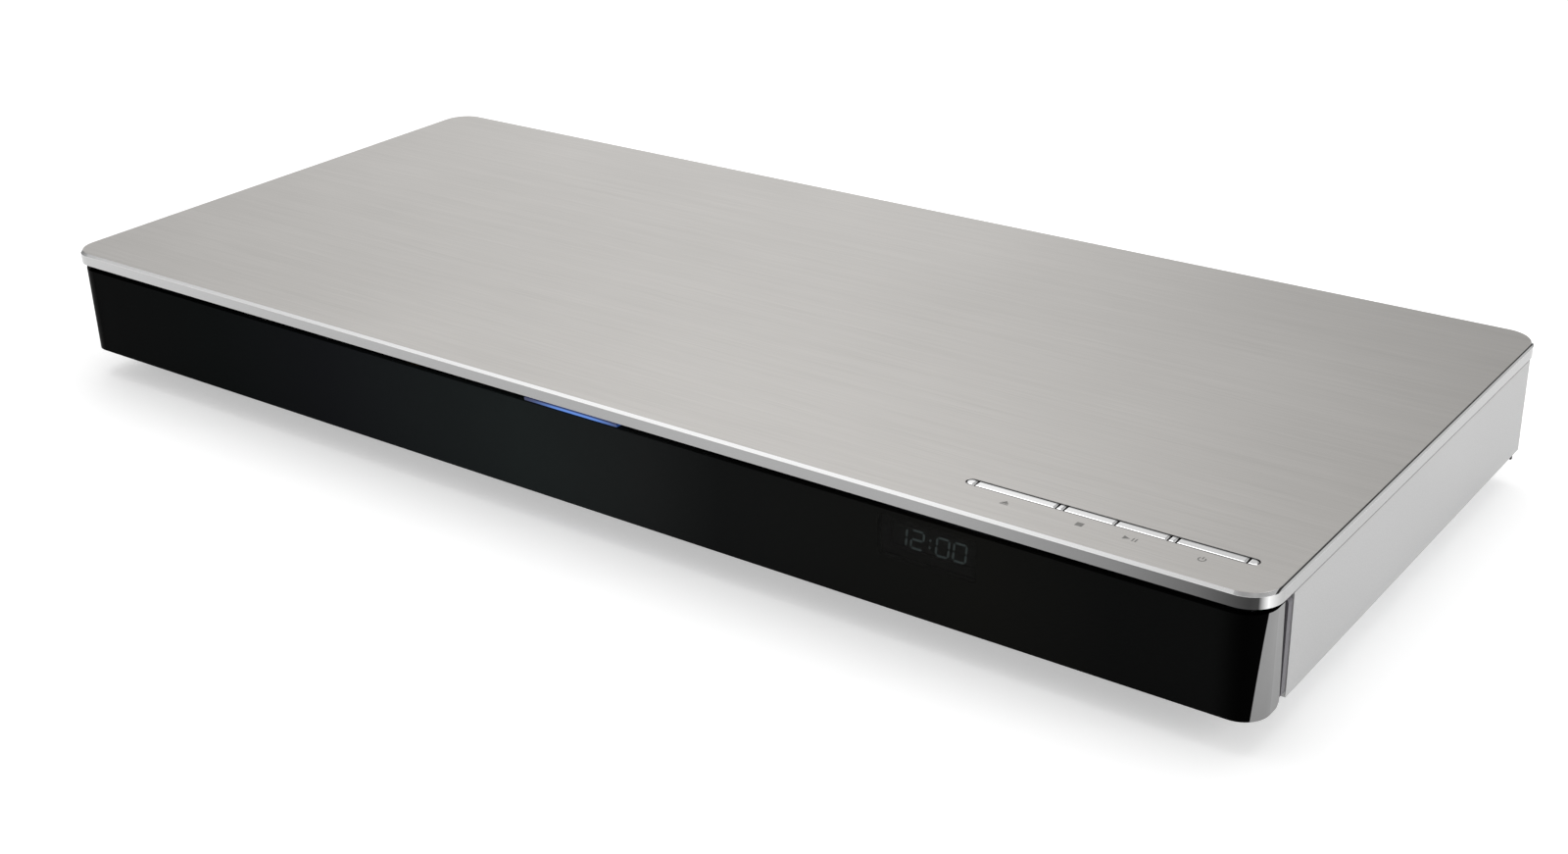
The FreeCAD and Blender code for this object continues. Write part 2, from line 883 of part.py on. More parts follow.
# The frame's section: a wall that curves round below the hinge line into a short floor
def frame_section(x0, x1):
    r_out = hinge_inset_y - frame_face_inset
    r_in = r_out - frame_wall
    floor_end = front_y + pan_front - part_gap
    turn = math.sqrt(0.5)

    def at(y, z):
        return Vec(x0, y, z)

    edges = [
        Part.LineSegment(at(frame_face, frame_top), at(frame_face, hinge_height)).toShape(),
        Part.Arc(at(frame_face, hinge_height), at(hinge_y - r_out * turn, hinge_height - r_out * turn),
                 at(hinge_y, hinge_height - r_out)).toShape(),
        Part.LineSegment(at(hinge_y, hinge_height - r_out), at(floor_end, hinge_height - r_out)).toShape(),
        Part.LineSegment(at(floor_end, hinge_height - r_out), at(floor_end, hinge_height - r_in)).toShape(),
        Part.LineSegment(at(floor_end, hinge_height - r_in), at(hinge_y, hinge_height - r_in)).toShape(),
        Part.Arc(at(hinge_y, hinge_height - r_in), at(hinge_y - r_in * turn, hinge_height - r_in * turn),
                 at(frame_back, hinge_height)).toShape(),
        Part.LineSegment(at(frame_back, hinge_height), at(frame_back, frame_top)).toShape(),
        Part.LineSegment(at(frame_back, frame_top), at(frame_face, frame_top)).toShape(),
    ]
    return Part.Face(Part.Wire(edges)).extrude(Vec(x1 - x0, 0, 0))


def frame_half():
    return half_width - flap_side_inset - flap_wall - hinge_boss_length - part_gap


def tray_slot_box(extra):
    side = tray_width / 2 + rail_width + tray_slot_side_gap
    return box(drive_x - side, drive_x + side, frame_face - extra, frame_back + extra,
               tray_bottom - rack_height - tray_slot_bottom_gap, tray_top + tray_slot_top_gap)


def front_frame():
    half = frame_half()
    shapes = [frame_section(-half, half)]
    ear_outer = half_width - flap_side_inset
    ear_y0, ear_y1 = front_y + ear_front, front_y + side_front - part_gap
    ear_top = case_height - ear_top_drop
    for sign in (-1, 1):
        xs = sorted([sign * (half - ear_web), sign * half])
        web = box(xs[0], xs[1], frame_face + ear_web_setback, ear_y1, hinge_height - ear_web_drop, ear_web_top)
        link = sorted([sign * (half - ear_web), sign * (ear_outer - ear_skin)])
        web = web.fuse(box(link[0], link[1], ear_y0, ear_y1, ear_bottom, ear_web_top))
        xs = sorted([sign * (half + ear_skin / 2), sign * ear_outer])
        ear = box(xs[0], xs[1], ear_y0, ear_y1, ear_bottom, ear_top)
        edges = [e for e in ear.Edges if abs(e.BoundBox.XMin - sign * ear_outer) < seat_gap
                 and e.BoundBox.XLength < seat_gap and e.BoundBox.YLength > ear_skin]
        ear = ear.makeFillet(ear_round, edges)
        shapes += [web, ear]
    frame = join(shapes)
    y0, y1 = frame_face - past, frame_back + past
    cuts = [tray_slot_box(past)]
    g = part_gap
    cuts.append(centred_box(usb_x, usb_width + 2 * g, y0, y1, usb_z - usb_height / 2 - g, usb_z + usb_height / 2 + g))
    cuts.append(centred_box(card_x, card_width + 2 * g, y0, y1, card_z - card_height / 2 - g,
                            card_z + card_height / 2 + g))
    m = window_margin
    cuts.append(centred_box(display_x, display_width - 2 * m, y0, y1,
                            display_z - display_height / 2 + m, display_z + display_height / 2 - m))
    cuts.append(centred_box(sensor_x, sensor_width, y0, y1, sensor_z - sensor_height / 2, sensor_z + sensor_height / 2))
    cuts.append(centred_box(light_x, light_length + 2 * g, y0, y1, flap_top, flap_top + light_height + 2 * g))
    for sign in (-1, 1):
        tip = half_width - flap_side_inset - flap_wall - part_gap
        xs = sorted([sign * (tip - hinge_pin_length - bite), sign * (half + past)])
        cuts.append(bar_along_x(xs[0], xs[1], hinge_y, hinge_height, hinge_pin_radius + seat_gap))
    return frame.cut(group(cuts))


def light_guide():
    z0 = flap_top + part_gap
    z1 = z0 + light_height
    back = frame_back + front_board_gap - part_gap
    bar = centred_box(light_x, light_length, front_y + light_front, back, z0, z1)
    stem = centred_box(light_x, light_stem_width, back - light_stem_depth, back, front_board_high - light_stem_drop, z1)
    return join([bar, stem])


def display_module():
    y0 = frame_back + bite
    body = centred_box(display_x, display_width, y0, y0 + display_depth,
                       display_z - display_height / 2, display_z + display_height / 2)
    m = window_margin + part_gap
    lens = centred_box(display_x, display_width - 2 * m, frame_face + display_setback, y0 + past,
                       display_z - display_height / 2 + m, display_z + display_height / 2 - m)
    return join([body, lens])


def front_board_span():
    y0 = frame_back + front_board_gap
    return y0, y0 + front_board_thickness


def front_board():
    y0, y1 = front_board_span()
    left = card_x - card_width / 2 - front_board_left_margin
    right = display_x + display_width / 2 + front_board_right_margin
    shape = box(left, right, y0, y1, front_board_low, front_board_high)
    g = part_gap
    cuts = []
    for x, width, z, height in [(usb_x, usb_width, usb_z, usb_height), (card_x, card_width, card_z, card_height),
                                (display_x, display_width, display_z, display_height)]:
        cuts.append(centred_box(x, width + 2 * g, y0 - past, y1 + past, z - height / 2 - g, front_board_high + past))
    return shape.cut(group(cuts))


def remote_sensor():
    y0, y1 = front_board_span()
    g = part_gap
    body = centred_box(sensor_x, sensor_width - 2 * g, frame_back + 2 * bite, y0 - seat_gap,
                       sensor_z - sensor_height / 2 + g, sensor_z + sensor_height / 2 - g)
    eye = bar_along_y(sensor_x, frame_face + sensor_setback, frame_back + 4 * bite, sensor_z, sensor_width / 2 - 2 * g)
    return join([body, eye])


def front_usb_socket():
    y0 = frame_face + usb_setback
    body = centred_box(usb_x, usb_width, y0, y0 + usb_length, usb_z - usb_height / 2, usb_z + usb_height / 2)
    w = usb_wall
    hollow = centred_box(usb_x, usb_width - 2 * w, y0 - past, y0 + usb_length - w,
                         usb_z - usb_height / 2 + w, usb_z + usb_height / 2 - w)
    top = usb_z + usb_height / 2 - w
    tongue = centred_box(usb_x, usb_width - 2 * w - 2 * usb_tongue_gap, y0 + usb_tongue_setback, y0 + usb_length,
                         top - usb_tongue_height, top - bite)
    return join([body.cut(hollow), tongue])


def sd_card_slot():
    y0 = frame_face + card_setback
    body = centred_box(card_x, card_width, y0, y0 + card_length, card_z - card_height / 2,
                       card_z + card_height / 2)
    hollow = centred_box(card_x, card_width - 2 * card_wall, y0 - past, y0 + card_length - 2 * card_wall,
                         card_z - card_slot_height / 2, card_z + card_slot_height / 2)
    return body.cut(hollow)


# Buttons


def button(name):
    x0, x1 = button_places()[0][name]
    half = slot_width / 2 - slot_fit
    cap = box(x0, x1, slot_y - half, slot_y + half, case_height - button_skirt, case_height)
    edges = [e for e in cap.Edges if e.BoundBox.ZMin > case_height - seat_gap]
    cap = cap.makeFillet(button_round, edges)
    x = (x0 + x1) / 2
    top = case_height - button_skirt
    foot = box(x - button_foot_length / 2, x + button_foot_length / 2, slot_y - button_foot_width / 2,
               slot_y + button_foot_width / 2, top - button_foot_height, top + bite)
    return join([cap, foot])


def bezel_span():
    return slot_left() - bezel_left_margin, slot_right + bezel_right_margin


def button_bezel():
    # A plate under the top with posts that fill the slot between the buttons
    caps = button_places()[1]
    half = slot_width / 2 - slot_fit
    z1 = plate_under - part_gap / 3
    z0 = z1 - bezel_floor
    left, right = bezel_span()
    depth = button_board_depth / 2
    shapes = [box(left, right, slot_y - depth, slot_y + depth, z0, z1)]
    outline = slot_prism(slot_left() + slot_fit, slot_right - slot_fit, slot_y, 2 * half, z0, case_height)
    for x0, x1 in caps:
        spacer = box(x0, x1, slot_y - half, slot_y + half, z0, case_height).common(outline)
        edges = [e for e in spacer.Edges if e.BoundBox.ZMin > case_height - seat_gap]
        shapes.append(spacer.makeFillet(button_round, edges))
    bezel = join(shapes)
    cuts = []
    g = bezel_window_gap
    for x0, x1 in button_places()[0].values():
        cuts.append(box(x0 - g, x1 + g, slot_y - half - slot_fit, slot_y + half + slot_fit, z0 - past, z1 + seat_gap))
    bezel = bezel.cut(group(cuts))
    legs = []
    board_z = switch_board_top()
    for x in (left, right - bezel_leg):
        legs.append(box(x, x + bezel_leg, slot_y - depth, slot_y + depth, board_z, z0 + bite))
    return join([bezel] + legs)


def switch_board_top():
    return case_height - button_skirt - button_foot_height - switch_gap - button_travel - switch_height


def button_board():
    z1 = switch_board_top()
    left, right = bezel_span()
    depth = button_board_depth / 2
    return box(left, right, slot_y - depth, slot_y + depth, z1 - button_board_thickness, z1)


def button_switches():
    z0 = switch_board_top()
    switches = []
    for x0, x1 in button_places()[0].values():
        x = (x0 + x1) / 2
        half = switch_size / 2
        body = box(x - half, x + half, slot_y - half, slot_y + half, z0, z0 + switch_body_height)
        stem = post(x, slot_y, z0 + switch_body_height / 2, z0 + switch_height, switch_stem_radius)
        switches.append(join([body, stem]))
    return group(switches)


# Disc tray and the drive frame that carries it

def rack_x():
    return drive_x - tray_width / 2 + rack_inset


def rack_teeth():
    # Straight-sided teeth facing +X on a bar under the tray, with a tooth centred on the gear's row
    m = rack_module
    pitch = math.pi * m
    tip = m * rack_tooth_drop
    root = m * rack_tooth_root
    slope = math.tan(math.radians(pressure_angle))
    half = pitch / 4 - gear_backlash / 2
    x = rack_x()
    gear_y = front_y + gear_row_inset
    y0, y1 = tray_front_y + rack_end_gap, tray_rear_y - rack_end_gap
    first = math.ceil((y0 + pitch / 2 - gear_y) / pitch)
    last = math.floor((y1 - pitch / 2 - gear_y) / pitch)
    points = [(x - rack_body, y0, 0), (x - root, y0, 0)]
    for i in range(first, last + 1):
        y = gear_y + i * pitch
        points.append((x - root, y - half - root * slope, 0))
        points.append((x + tip, y - half + tip * slope, 0))
        points.append((x + tip, y + half - tip * slope, 0))
        points.append((x - root, y + half + root * slope, 0))
    points += [(x - root, y1, 0), (x - rack_body, y1, 0)]
    rack = face_of(points).extrude(Vec(0, 0, rack_height + 2 * bite))
    rack.translate(Vec(0, 0, tray_bottom - rack_height))
    return rack


def disc_tray():
    left, right = drive_x - tray_width / 2, drive_x + tray_width / 2
    low, high = tray_bottom - past, tray_top + past
    body = box(left, right, tray_front_y, tray_rear_y, tray_bottom, tray_top)
    corners = [e for e in body.Edges if e.BoundBox.ZLength > past and e.BoundBox.YMax < tray_front_y + bite]
    body = body.makeFillet(tray_corner_radius, corners)
    ramp = [(tray_front_y - past, low), (tray_front_y - past, tray_top - tray_lip_thickness),
            (tray_front_y + tray_lip_flat, tray_top - tray_lip_thickness),
            (tray_front_y + tray_lip_depth, tray_bottom), (tray_front_y + tray_lip_depth, low)]
    lip_cut = face_of([(left - past, y, z) for y, z in ramp]).extrude(Vec(tray_width + 2 * past, 0, 0))
    r = disc_radius + disc_play
    well_floor = tray_top - disc_recess
    well = post(drive_x, disc_y, well_floor, high, r)
    small_well = post(drive_x, disc_y, well_floor - small_disc_recess, tray_top, small_disc_radius + disc_play)
    s = tray_slot_half_width
    opening = box(drive_x - s, drive_x + s, disc_y, tray_rear_y + past, low, high)
    opening = opening.fuse(post(drive_x, disc_y, low, high, turntable_radius + tray_hub_gap))
    finger = []
    for angle in (-135, -45):
        a = math.radians(angle)
        finger.append(post(drive_x + (r + finger_offset) * math.cos(a), disc_y + (r + finger_offset) * math.sin(a),
                           well_floor - finger_drop, high, finger_radius))
    body = body.cut(lip_cut).cut(well).cut(small_well).cut(opening).cut(group(finger))
    front_end = box(left - past, right + past, tray_front_y - past, tray_front_y + tray_lip_depth + past,
                    tray_bottom - rack_height - past, tray_bottom + bite)
    shapes = [body, rack_teeth().cut(front_end)]
    # Rails along both sides run in the frame's guides
    for sign in (-1, 1):
        edge = drive_x + sign * (tray_width / 2)
        xs = sorted([edge - sign * rail_root, edge + sign * rail_width])
        shapes.append(box(xs[0], xs[1], tray_front_y + rail_setback, tray_rear_y, tray_bottom,
                          tray_bottom + rail_height))
    return join(shapes)


def drive_floor():
    return pan_top + drive_floor_gap


def gear_centres():
    y = front_y + gear_row_inset
    x_tray = rack_x() + tray_gear_teeth * rack_module / 2
    x_pulley = x_tray + (wheel_teeth + pinion_teeth) * wheel_module / 2
    return (x_tray, y), (x_pulley, y), (x_pulley + belt_distance, y)


def gear_levels():
    # Bottom of the tray pinion, of the wheel below it, and of the pulley below that
    pinion = tray_bottom - rack_height + bite
    wheel = pinion - gear_gap - gear_thickness
    pulley = wheel - gear_gap - pulley_thickness
    return pinion, wheel, pulley


def drive_frame():
    z0 = drive_floor()
    inner = drive_wall_inner
    outer = inner + drive_wall
    y0 = front_y + drive_front
    y1 = y0 + drive_length
    floor_top = z0 + drive_floor_thickness
    top = bridge_level - part_gap / 3
    shapes = [box(drive_x - outer, drive_x + outer, y0, y1, z0, floor_top)]
    guide_low = tray_bottom - rail_lower_gap
    guide_high = tray_bottom + rail_height + rail_upper_gap
    tab = guide_tab_length
    for sign in (-1, 1):
        xs = sorted([drive_x + sign * inner, drive_x + sign * outer])
        shapes.append(box(xs[0], xs[1], y0, y1, z0, top))
        reach = sorted([drive_x + sign * (tray_width / 2 + guide_side_gap), drive_x + sign * outer])
        shapes.append(box(reach[0], reach[1], y0, y1, guide_low - guide_thickness, guide_low))
        for y in (y0 + guide_tab_inset, (y0 + y1 - tab) / 2, y1 - guide_tab_inset - tab):
            shapes.append(box(reach[0], reach[1], y, y + tab, guide_high, guide_high + guide_thickness))
    shapes.append(box(drive_x - outer, drive_x + outer, y1 - drive_wall, y1, z0,
                      tray_bottom - rack_height - drive_rear_drop))
    (xa, ya), (xb, yb), (xm, ym) = gear_centres()
    pinion, wheel, pulley = gear_levels()
    for x, y, z_top, z_shaft in ((xa, ya, wheel, pinion + gear_thickness), (xb, yb, pulley, wheel + gear_thickness)):
        shapes.append(post(x, y, z0, z_top - shoulder_gap, gear_shaft_radius + shoulder_wall))
        shapes.append(post(x, y, z0, z_shaft, gear_shaft_radius))
    # Brackets that hold the traverse's pins
    py, pz = traverse_pivot()
    b = pivot_bracket
    for sign in (-1, 1):
        edge = traverse_width / 2 + part_gap
        xs = sorted([drive_x + sign * edge, drive_x + sign * (edge + b)])
        shapes.append(box(xs[0], xs[1], py - b, py + b, z0, pz + b))
    frame = join(shapes)
    low, high = z0 - past, floor_top + past
    window = traverse_width / 2 + traverse_window_gap
    cuts = [box(drive_x - window, drive_x + window, disc_y - traverse_front - traverse_window_gap, py - pivot_sill,
                low, high)]
    cuts.append(post(xm, ym, low, high, motor_radius + part_gap))
    cuts.append(bar_along_x(drive_x - traverse_width, drive_x + traverse_width, py, pz,
                            traverse_pin_radius + running_fit))
    for x, y in drive_holes():
        cuts.append(post(x, y, low, high, screw_shank_radius + screw_fit))
    return frame.cut(group(cuts))


def tray_gear():
    (x, y), _, _ = gear_centres()
    pinion, wheel, _ = gear_levels()
    m = rack_module
    top = gear(x, y, pinion, gear_thickness, tray_gear_teeth, m, m * rack_tooth_drop, m * tooth_root,
               180 + 180 / tray_gear_teeth)
    w = wheel_module
    low = gear(x, y, wheel, gear_thickness, wheel_teeth, w, w * wheel_tooth_tip, w * tooth_root, 0)
    hub = post(x, y, wheel, pinion + bite, gear_shaft_radius + gear_hub_wall)
    bore = post(x, y, wheel - past, pinion + gear_thickness + past, gear_shaft_radius + running_fit)
    return join([top, low, hub]).cut(bore)


def grooved_pulley(x, y, z, radius):
    groove = belt_width + pulley_groove_play
    side = (pulley_thickness - groove) / 2
    return join([
        post(x, y, z, z + pulley_thickness, radius),
        post(x, y, z, z + side, radius + pulley_flange),
        post(x, y, z + side + groove, z + pulley_thickness, radius + pulley_flange),
    ])


def pulley_gear():
    _, (x, y), _ = gear_centres()
    _, wheel, pulley = gear_levels()
    w = wheel_module
    pinion = gear(x, y, wheel, gear_thickness, pinion_teeth, w, w * wheel_tooth_tip, w * tooth_root,
                  180 + 180 / pinion_teeth)
    hub = post(x, y, pulley, wheel + bite, gear_shaft_radius + pulley_hub_wall)
    bore = post(x, y, pulley - past, wheel + gear_thickness + past, gear_shaft_radius + running_fit)
    return join([pinion, grooved_pulley(x, y, pulley, pulley_radius), hub]).cut(bore)


def motor_pulley():
    _, _, (x, y) = gear_centres()
    _, _, pulley = gear_levels()
    shaft = post(x, y, motor_bottom() + 2 * motor_end_wall, pulley + pulley_thickness + motor_shaft_tip,
                 motor_shaft_radius)
    return join([grooved_pulley(x, y, pulley, motor_pulley_radius), shaft])


def motor_bottom():
    return drive_floor() + motor_lift


def motor_top():
    return gear_levels()[2] - motor_gap


def loading_belt():
    _, (xa, y), (xb, _) = gear_centres()
    _, _, pulley = gear_levels()
    z0 = pulley + (pulley_thickness - belt_width) / 2

    def loop(extra):
        ra = pulley_radius + belt_gap + extra
        rb = motor_pulley_radius + belt_gap + extra
        d = xb - xa
        lean = math.asin((ra - rb) / d)
        s, c = math.sin(lean), math.cos(lean)
        a_top, a_low = Vec(xa + ra * s, y + ra * c, z0), Vec(xa + ra * s, y - ra * c, z0)
        b_top, b_low = Vec(xb + rb * s, y + rb * c, z0), Vec(xb + rb * s, y - rb * c, z0)
        return Part.Face(Part.Wire([
            Part.LineSegment(a_top, b_top).toShape(),
            Part.Arc(b_top, Vec(xb + rb, y, z0), b_low).toShape(),
            Part.LineSegment(b_low, a_low).toShape(),
            Part.Arc(a_low, Vec(xa - ra, y, z0), a_top).toShape(),
        ])).extrude(Vec(0, 0, belt_width))

    return loop(belt_thickness).cut(loop(0))


def loading_motor():
    _, _, (x, y) = gear_centres()
    z0, z1 = motor_bottom(), motor_top()
    body = post(x, y, z0, z1, motor_radius)
    collar = post(x, y, z1 - bite, z1 + motor_collar_height, motor_collar_radius)
    bore = post(x, y, z0 + motor_end_wall, z1 + past, motor_shaft_radius + running_fit)
    floor_top = drive_floor() + drive_floor_thickness
    reach = motor_radius + motor_ear
    ears = box(x - reach, x + reach, y - motor_ear_width / 2, y + motor_ear_width / 2,
               floor_top, floor_top + motor_ear_thickness)
    return join([body, collar, ears]).cut(bore)


# Traverse

def traverse_pivot():
    return disc_y + traverse_rear, traverse_level + traverse_sheet / 2


def screw_place():
    return drive_x + rod_spacing / 2 + screw_offset


def traverse_base():
    z0 = traverse_level
    z1 = z0 + traverse_sheet
    half = traverse_width / 2
    py, pz = traverse_pivot()
    low, high = z0 - past, z1 + past
    plate = box(drive_x - half, drive_x + half, disc_y - traverse_front, py, z0, z1)
    clear = rod_spacing / 2 - holder_width / 2
    y0, y1 = disc_y + spindle_motor_radius + spindle_rim, rod_end() - holder_depth / 2
    window = box(drive_x - clear, drive_x + clear, y0, y1, low, high)
    screw_x = screw_place()
    side_cut = box(drive_x + rod_spacing / 2 - holder_width, screw_x + screw_window, y0, y1, low, high)
    shaft_hole = post(drive_x, disc_y, low, high, spindle_shaft_radius + spindle_hole_gap)
    shapes = [plate.cut(window).cut(side_cut).cut(shaft_hole)]
    t = traverse_web
    for sign in (-1, 1):
        xs = sorted([drive_x + sign * (half - t), drive_x + sign * half])
        shapes.append(box(xs[0], xs[1], disc_y - traverse_front, py + pivot_wrap, z0 - traverse_web_drop, z1))
        xs = sorted([drive_x + sign * (half - pivot_wrap), drive_x + sign * (half + traverse_pin_length - t)])
        shapes.append(bar_along_x(xs[0], xs[1], py, pz, traverse_pin_radius))
    # Holders for the ends of both guide rods and of the lead screw
    rod_z = z0 - rod_drop
    rod_xs = (drive_x - rod_spacing / 2, drive_x + rod_spacing / 2)
    places = [(x, rod_start() - holder_cover) for x in rod_xs]
    places += [(x, rod_end() + holder_cover - holder_depth) for x in rod_xs + (screw_x,)]
    for x, y in places:
        shapes.append(centred_box(x, holder_width, y, y + holder_depth, rod_z - holder_drop, z0 + bite))
    base = join(shapes)
    cuts = [bar_along_y(x, rod_start(), rod_end(), rod_z, rod_radius + seat_gap) for x in rod_xs]
    cuts.append(bar_along_y(screw_x, rod_end() - holder_depth, rod_end() + screw_tip_reach + bite, rod_z,
                            screw_tip_radius + running_fit))
    return base.cut(group(cuts))


def rod_start():
    return disc_y + rod_start_setback


def rod_end():
    return disc_y + pickup_inner + pickup_travel + pickup_length / 2 + rod_end_play


def guide_rods():
    rods = []
    for sign in (-1, 1):
        x = drive_x + sign * rod_spacing / 2
        rods.append(bar_along_y(x, rod_start() + seat_gap, rod_end() - seat_gap, traverse_level - rod_drop, rod_radius))
    return group(rods)


def spindle_motor():
    z1 = traverse_level - seat_gap
    z0 = z1 - spindle_motor_height
    body = post(drive_x, disc_y, z0, z1, spindle_motor_radius)
    board = centred_box(drive_x, spindle_board_width, disc_y - spindle_board_reach, disc_y,
                        z1 - spindle_board_thickness, z1)
    bore = post(drive_x, disc_y, z0 + motor_end_wall, z1 + past, spindle_shaft_radius + running_fit)
    return join([body, board]).cut(bore)


def disc_seat():
    return tray_top - disc_recess + turntable_lift


def turntable():
    seat = disc_seat()
    plate = post(drive_x, disc_y, seat - turntable_thickness, seat, turntable_radius)
    hub = Part.makeCone(turntable_hub_radius, turntable_hub_radius - turntable_hub_taper, turntable_hub_height,
                        Vec(drive_x, disc_y, seat))
    stem = post(drive_x, disc_y, traverse_level + traverse_sheet + part_gap, seat - bite, turntable_stem_radius)
    shaft_low = traverse_level - spindle_motor_height + motor_end_wall + part_gap
    shaft = post(drive_x, disc_y, shaft_low, seat, spindle_shaft_radius)
    return join([plate, hub, stem, shaft])


def pickup_sled():
    rod_z = traverse_level - rod_drop
    y0 = disc_y + pickup_inner - pickup_length / 2
    y1 = y0 + pickup_length
    low = rod_z - pickup_rise
    body = centred_box(drive_x, pickup_width, y0, y1, low, low + pickup_height)
    wall = pickup_wall
    tower = centred_box(drive_x, pickup_tower_width, y0 + wall, y1 - wall, rod_z,
                        disc_seat() - lens_drop - lens_height)
    shapes = [body, tower]
    half = pickup_arm_height / 2
    rod_xs = (drive_x - rod_spacing / 2, drive_x + rod_spacing / 2)
    for sign, x in zip((-1, 1), rod_xs):
        arm = sorted([drive_x + sign * (pickup_width / 2 - wall / 2), x])
        shapes.append(box(arm[0], arm[1], y0 + 1.5 * wall, y1 - 1.5 * wall, rod_z - half, rod_z + half))
        shapes.append(bar_along_y(x, y0 + wall, y1 - wall, rod_z, rod_radius + pickup_bush_wall))
    nut_end = screw_place() - screw_radius - nut_gap
    shapes.append(box(rod_xs[1] + rod_radius, nut_end, y0 + nut_inset, y1 - nut_inset,
                      rod_z - pickup_bush_wall, rod_z + pickup_bush_wall))
    sled = join(shapes)
    for x in rod_xs:
        sled = sled.cut(bar_along_y(x, y0 - past, y1 + past, rod_z, rod_radius + running_fit))
    return sled


def objective_lens():
    z1 = disc_seat() - lens_drop
    z0 = z1 - lens_height
    y = disc_y + pickup_inner
    holder = ring(drive_x, y, z0, z1 - lens_dome, lens_radius + lens_holder_wall, lens_radius)
    glass = post(drive_x, y, z0, z1 - lens_dome - bite, lens_radius)
    ball = lens_radius * lens_curve
    dome = Part.makeSphere(ball, Vec(drive_x, y, z1 - ball))
    dome = dome.common(post(drive_x, y, z1 - 2 * lens_dome, z1 + bite, lens_radius - part_gap))
    return join([holder, glass, dome])


def lead_screw():
    x = screw_place()
    z = traverse_level - rod_drop
    start, end = rod_start() + screw_end_gap, rod_end() - screw_end_gap
    shank = bar_along_y(x, start, end, z, screw_radius)
    tip = bar_along_y(x, end - bite, rod_end() + screw_tip_reach, z, screw_tip_radius)
    tail = bar_along_y(x, rod_start() - screw_tail_reach, start + bite, z, screw_tail_radius)
    return join([shank, tip, tail])


def sled_motor():
    x = screw_place()
    z = traverse_level - rod_drop
    y1 = rod_start() - sled_motor_gap
    y0 = y1 - sled_motor_length
    body = bar_along_y(x, y0, y1, z, sled_motor_radius)
    flat = centred_box(x, 4 * sled_motor_radius, y0 - past, y1 + past, traverse_level - seat_gap,
                       z + 2 * sled_motor_radius)
    bore = bar_along_y(x, rod_start() - screw_tail_reach - motor_end_wall, y1 + past, z,
                       screw_tail_radius + running_fit)
    return body.cut(flat).cut(bore)


def clamp_bridge():
    outer = drive_wall_inner + drive_wall + bridge_side_gap
    z0 = bridge_level
    z1 = z0 + bridge_thickness
    half = bridge_width / 2
    y0, y1 = disc_y - half, disc_y + half
    shapes = [box(drive_x - outer - sheet, drive_x + outer + sheet, y0, y1, z0, z1)]
    for sign in (-1, 1):
        xs = sorted([drive_x + sign * outer, drive_x + sign * (outer + sheet)])
        shapes.append(box(xs[0], xs[1], y0, y1, z0 - bridge_bend, z1))
    hole = post(drive_x, disc_y, z0 - past, z1 + past, clamper_neck_radius + clamper_side_play)
    return join(shapes).cut(hole)


def clamper():
    low = bridge_level - clamper_gap
    high = bridge_level + bridge_thickness + clamper_gap
    f = clamper_flange
    return join([
        post(drive_x, disc_y, low - f, low, clamper_radius),
        post(drive_x, disc_y, low - bite, high + bite, clamper_neck_radius),
        post(drive_x, disc_y, high, high + f, clamper_radius),
    ])


# Boards

def board(left, right, front, holes):
    shape = box(left, right, front, board_rear, board_level + seat_gap, board_top)
    for x, y in holes:
        shape = shape.cut(post(x, y, board_level - past, board_top + past, screw_shank_radius + screw_fit))
    return shape


def main_board():
    return board(main_board_left, main_board_right, front_y + main_board_front, main_board_holes())


def power_board():
    return board(power_board_left, power_board_right, front_y + power_board_front, power_board_holes())


def processor_place():
    return (main_board_left + main_board_right) / 2, front_y + main_board_front + processor_setback


def board_chips():
    x, y = processor_place()
    z0 = board_top + seat_gap
    # Each chip: where it is from the processor, then its width and depth
    places = [(0, 0, processor_size, processor_size),
              (-memory_offset, -memory_pitch / 2, memory_width, memory_depth),
              (-memory_offset, memory_pitch / 2, memory_width, memory_depth),
              (flash_offset_x, -flash_offset_y, flash_width, flash_depth),
              (tuner_offset_x, tuner_offset_y, tuner_size, tuner_size),
              (-driver_offset_x, -driver_offset_y, driver_width, driver_depth)]
    chips = []
    for dx, dy, w, d in places:
        chips.append(centred_box(x + dx, w, y + dy - d / 2, y + dy + d / 2, z0, z0 + chip_height))
    return group(chips)


def heat_sink():
    x, y = processor_place()
    half = heat_sink_size / 2
    z0 = board_top + chip_height + 2 * seat_gap
    shapes = [box(x - half, x + half, y - half, y + half, z0, z0 + heat_sink_base)]
    count = int((heat_sink_size - heat_sink_fin) // heat_sink_pitch) + 1
    start = x - (count - 1) * heat_sink_pitch / 2
    for i in range(count):
        fx = start + i * heat_sink_pitch
        shapes.append(box(fx - heat_sink_fin / 2, fx + heat_sink_fin / 2, y - half, y + half,
                          z0, z0 + heat_sink_height))
    return join(shapes)


def socket_shell(x, width, height, length, wall, hole_width, hole_height, hole_z):
    y1 = rear_outer + socket_proud
    z0 = board_top + seat_gap
    body = centred_box(x, width, y1 - length, y1, z0, z0 + height)
    hollow = centred_box(x, hole_width, y1 - length + wall, y1 + past, hole_z, hole_z + hole_height)
    return body.cut(hollow)


def hdmi_socket():
    z0 = board_top + seat_gap
    w = socket_wall
    shell = socket_shell(hdmi_x, hdmi_width, hdmi_height, hdmi_length, w,
                         hdmi_width - 2 * w, hdmi_height - 2 * w, z0 + w)
    y1 = rear_outer + socket_proud
    mid = z0 + hdmi_height / 2
    half = hdmi_tongue_height / 2
    tongue = centred_box(hdmi_x, hdmi_tongue_width, y1 - hdmi_length + w / 2, y1 - hdmi_tongue_setback,
                         mid - half, mid + half)
    return join([shell, tongue])


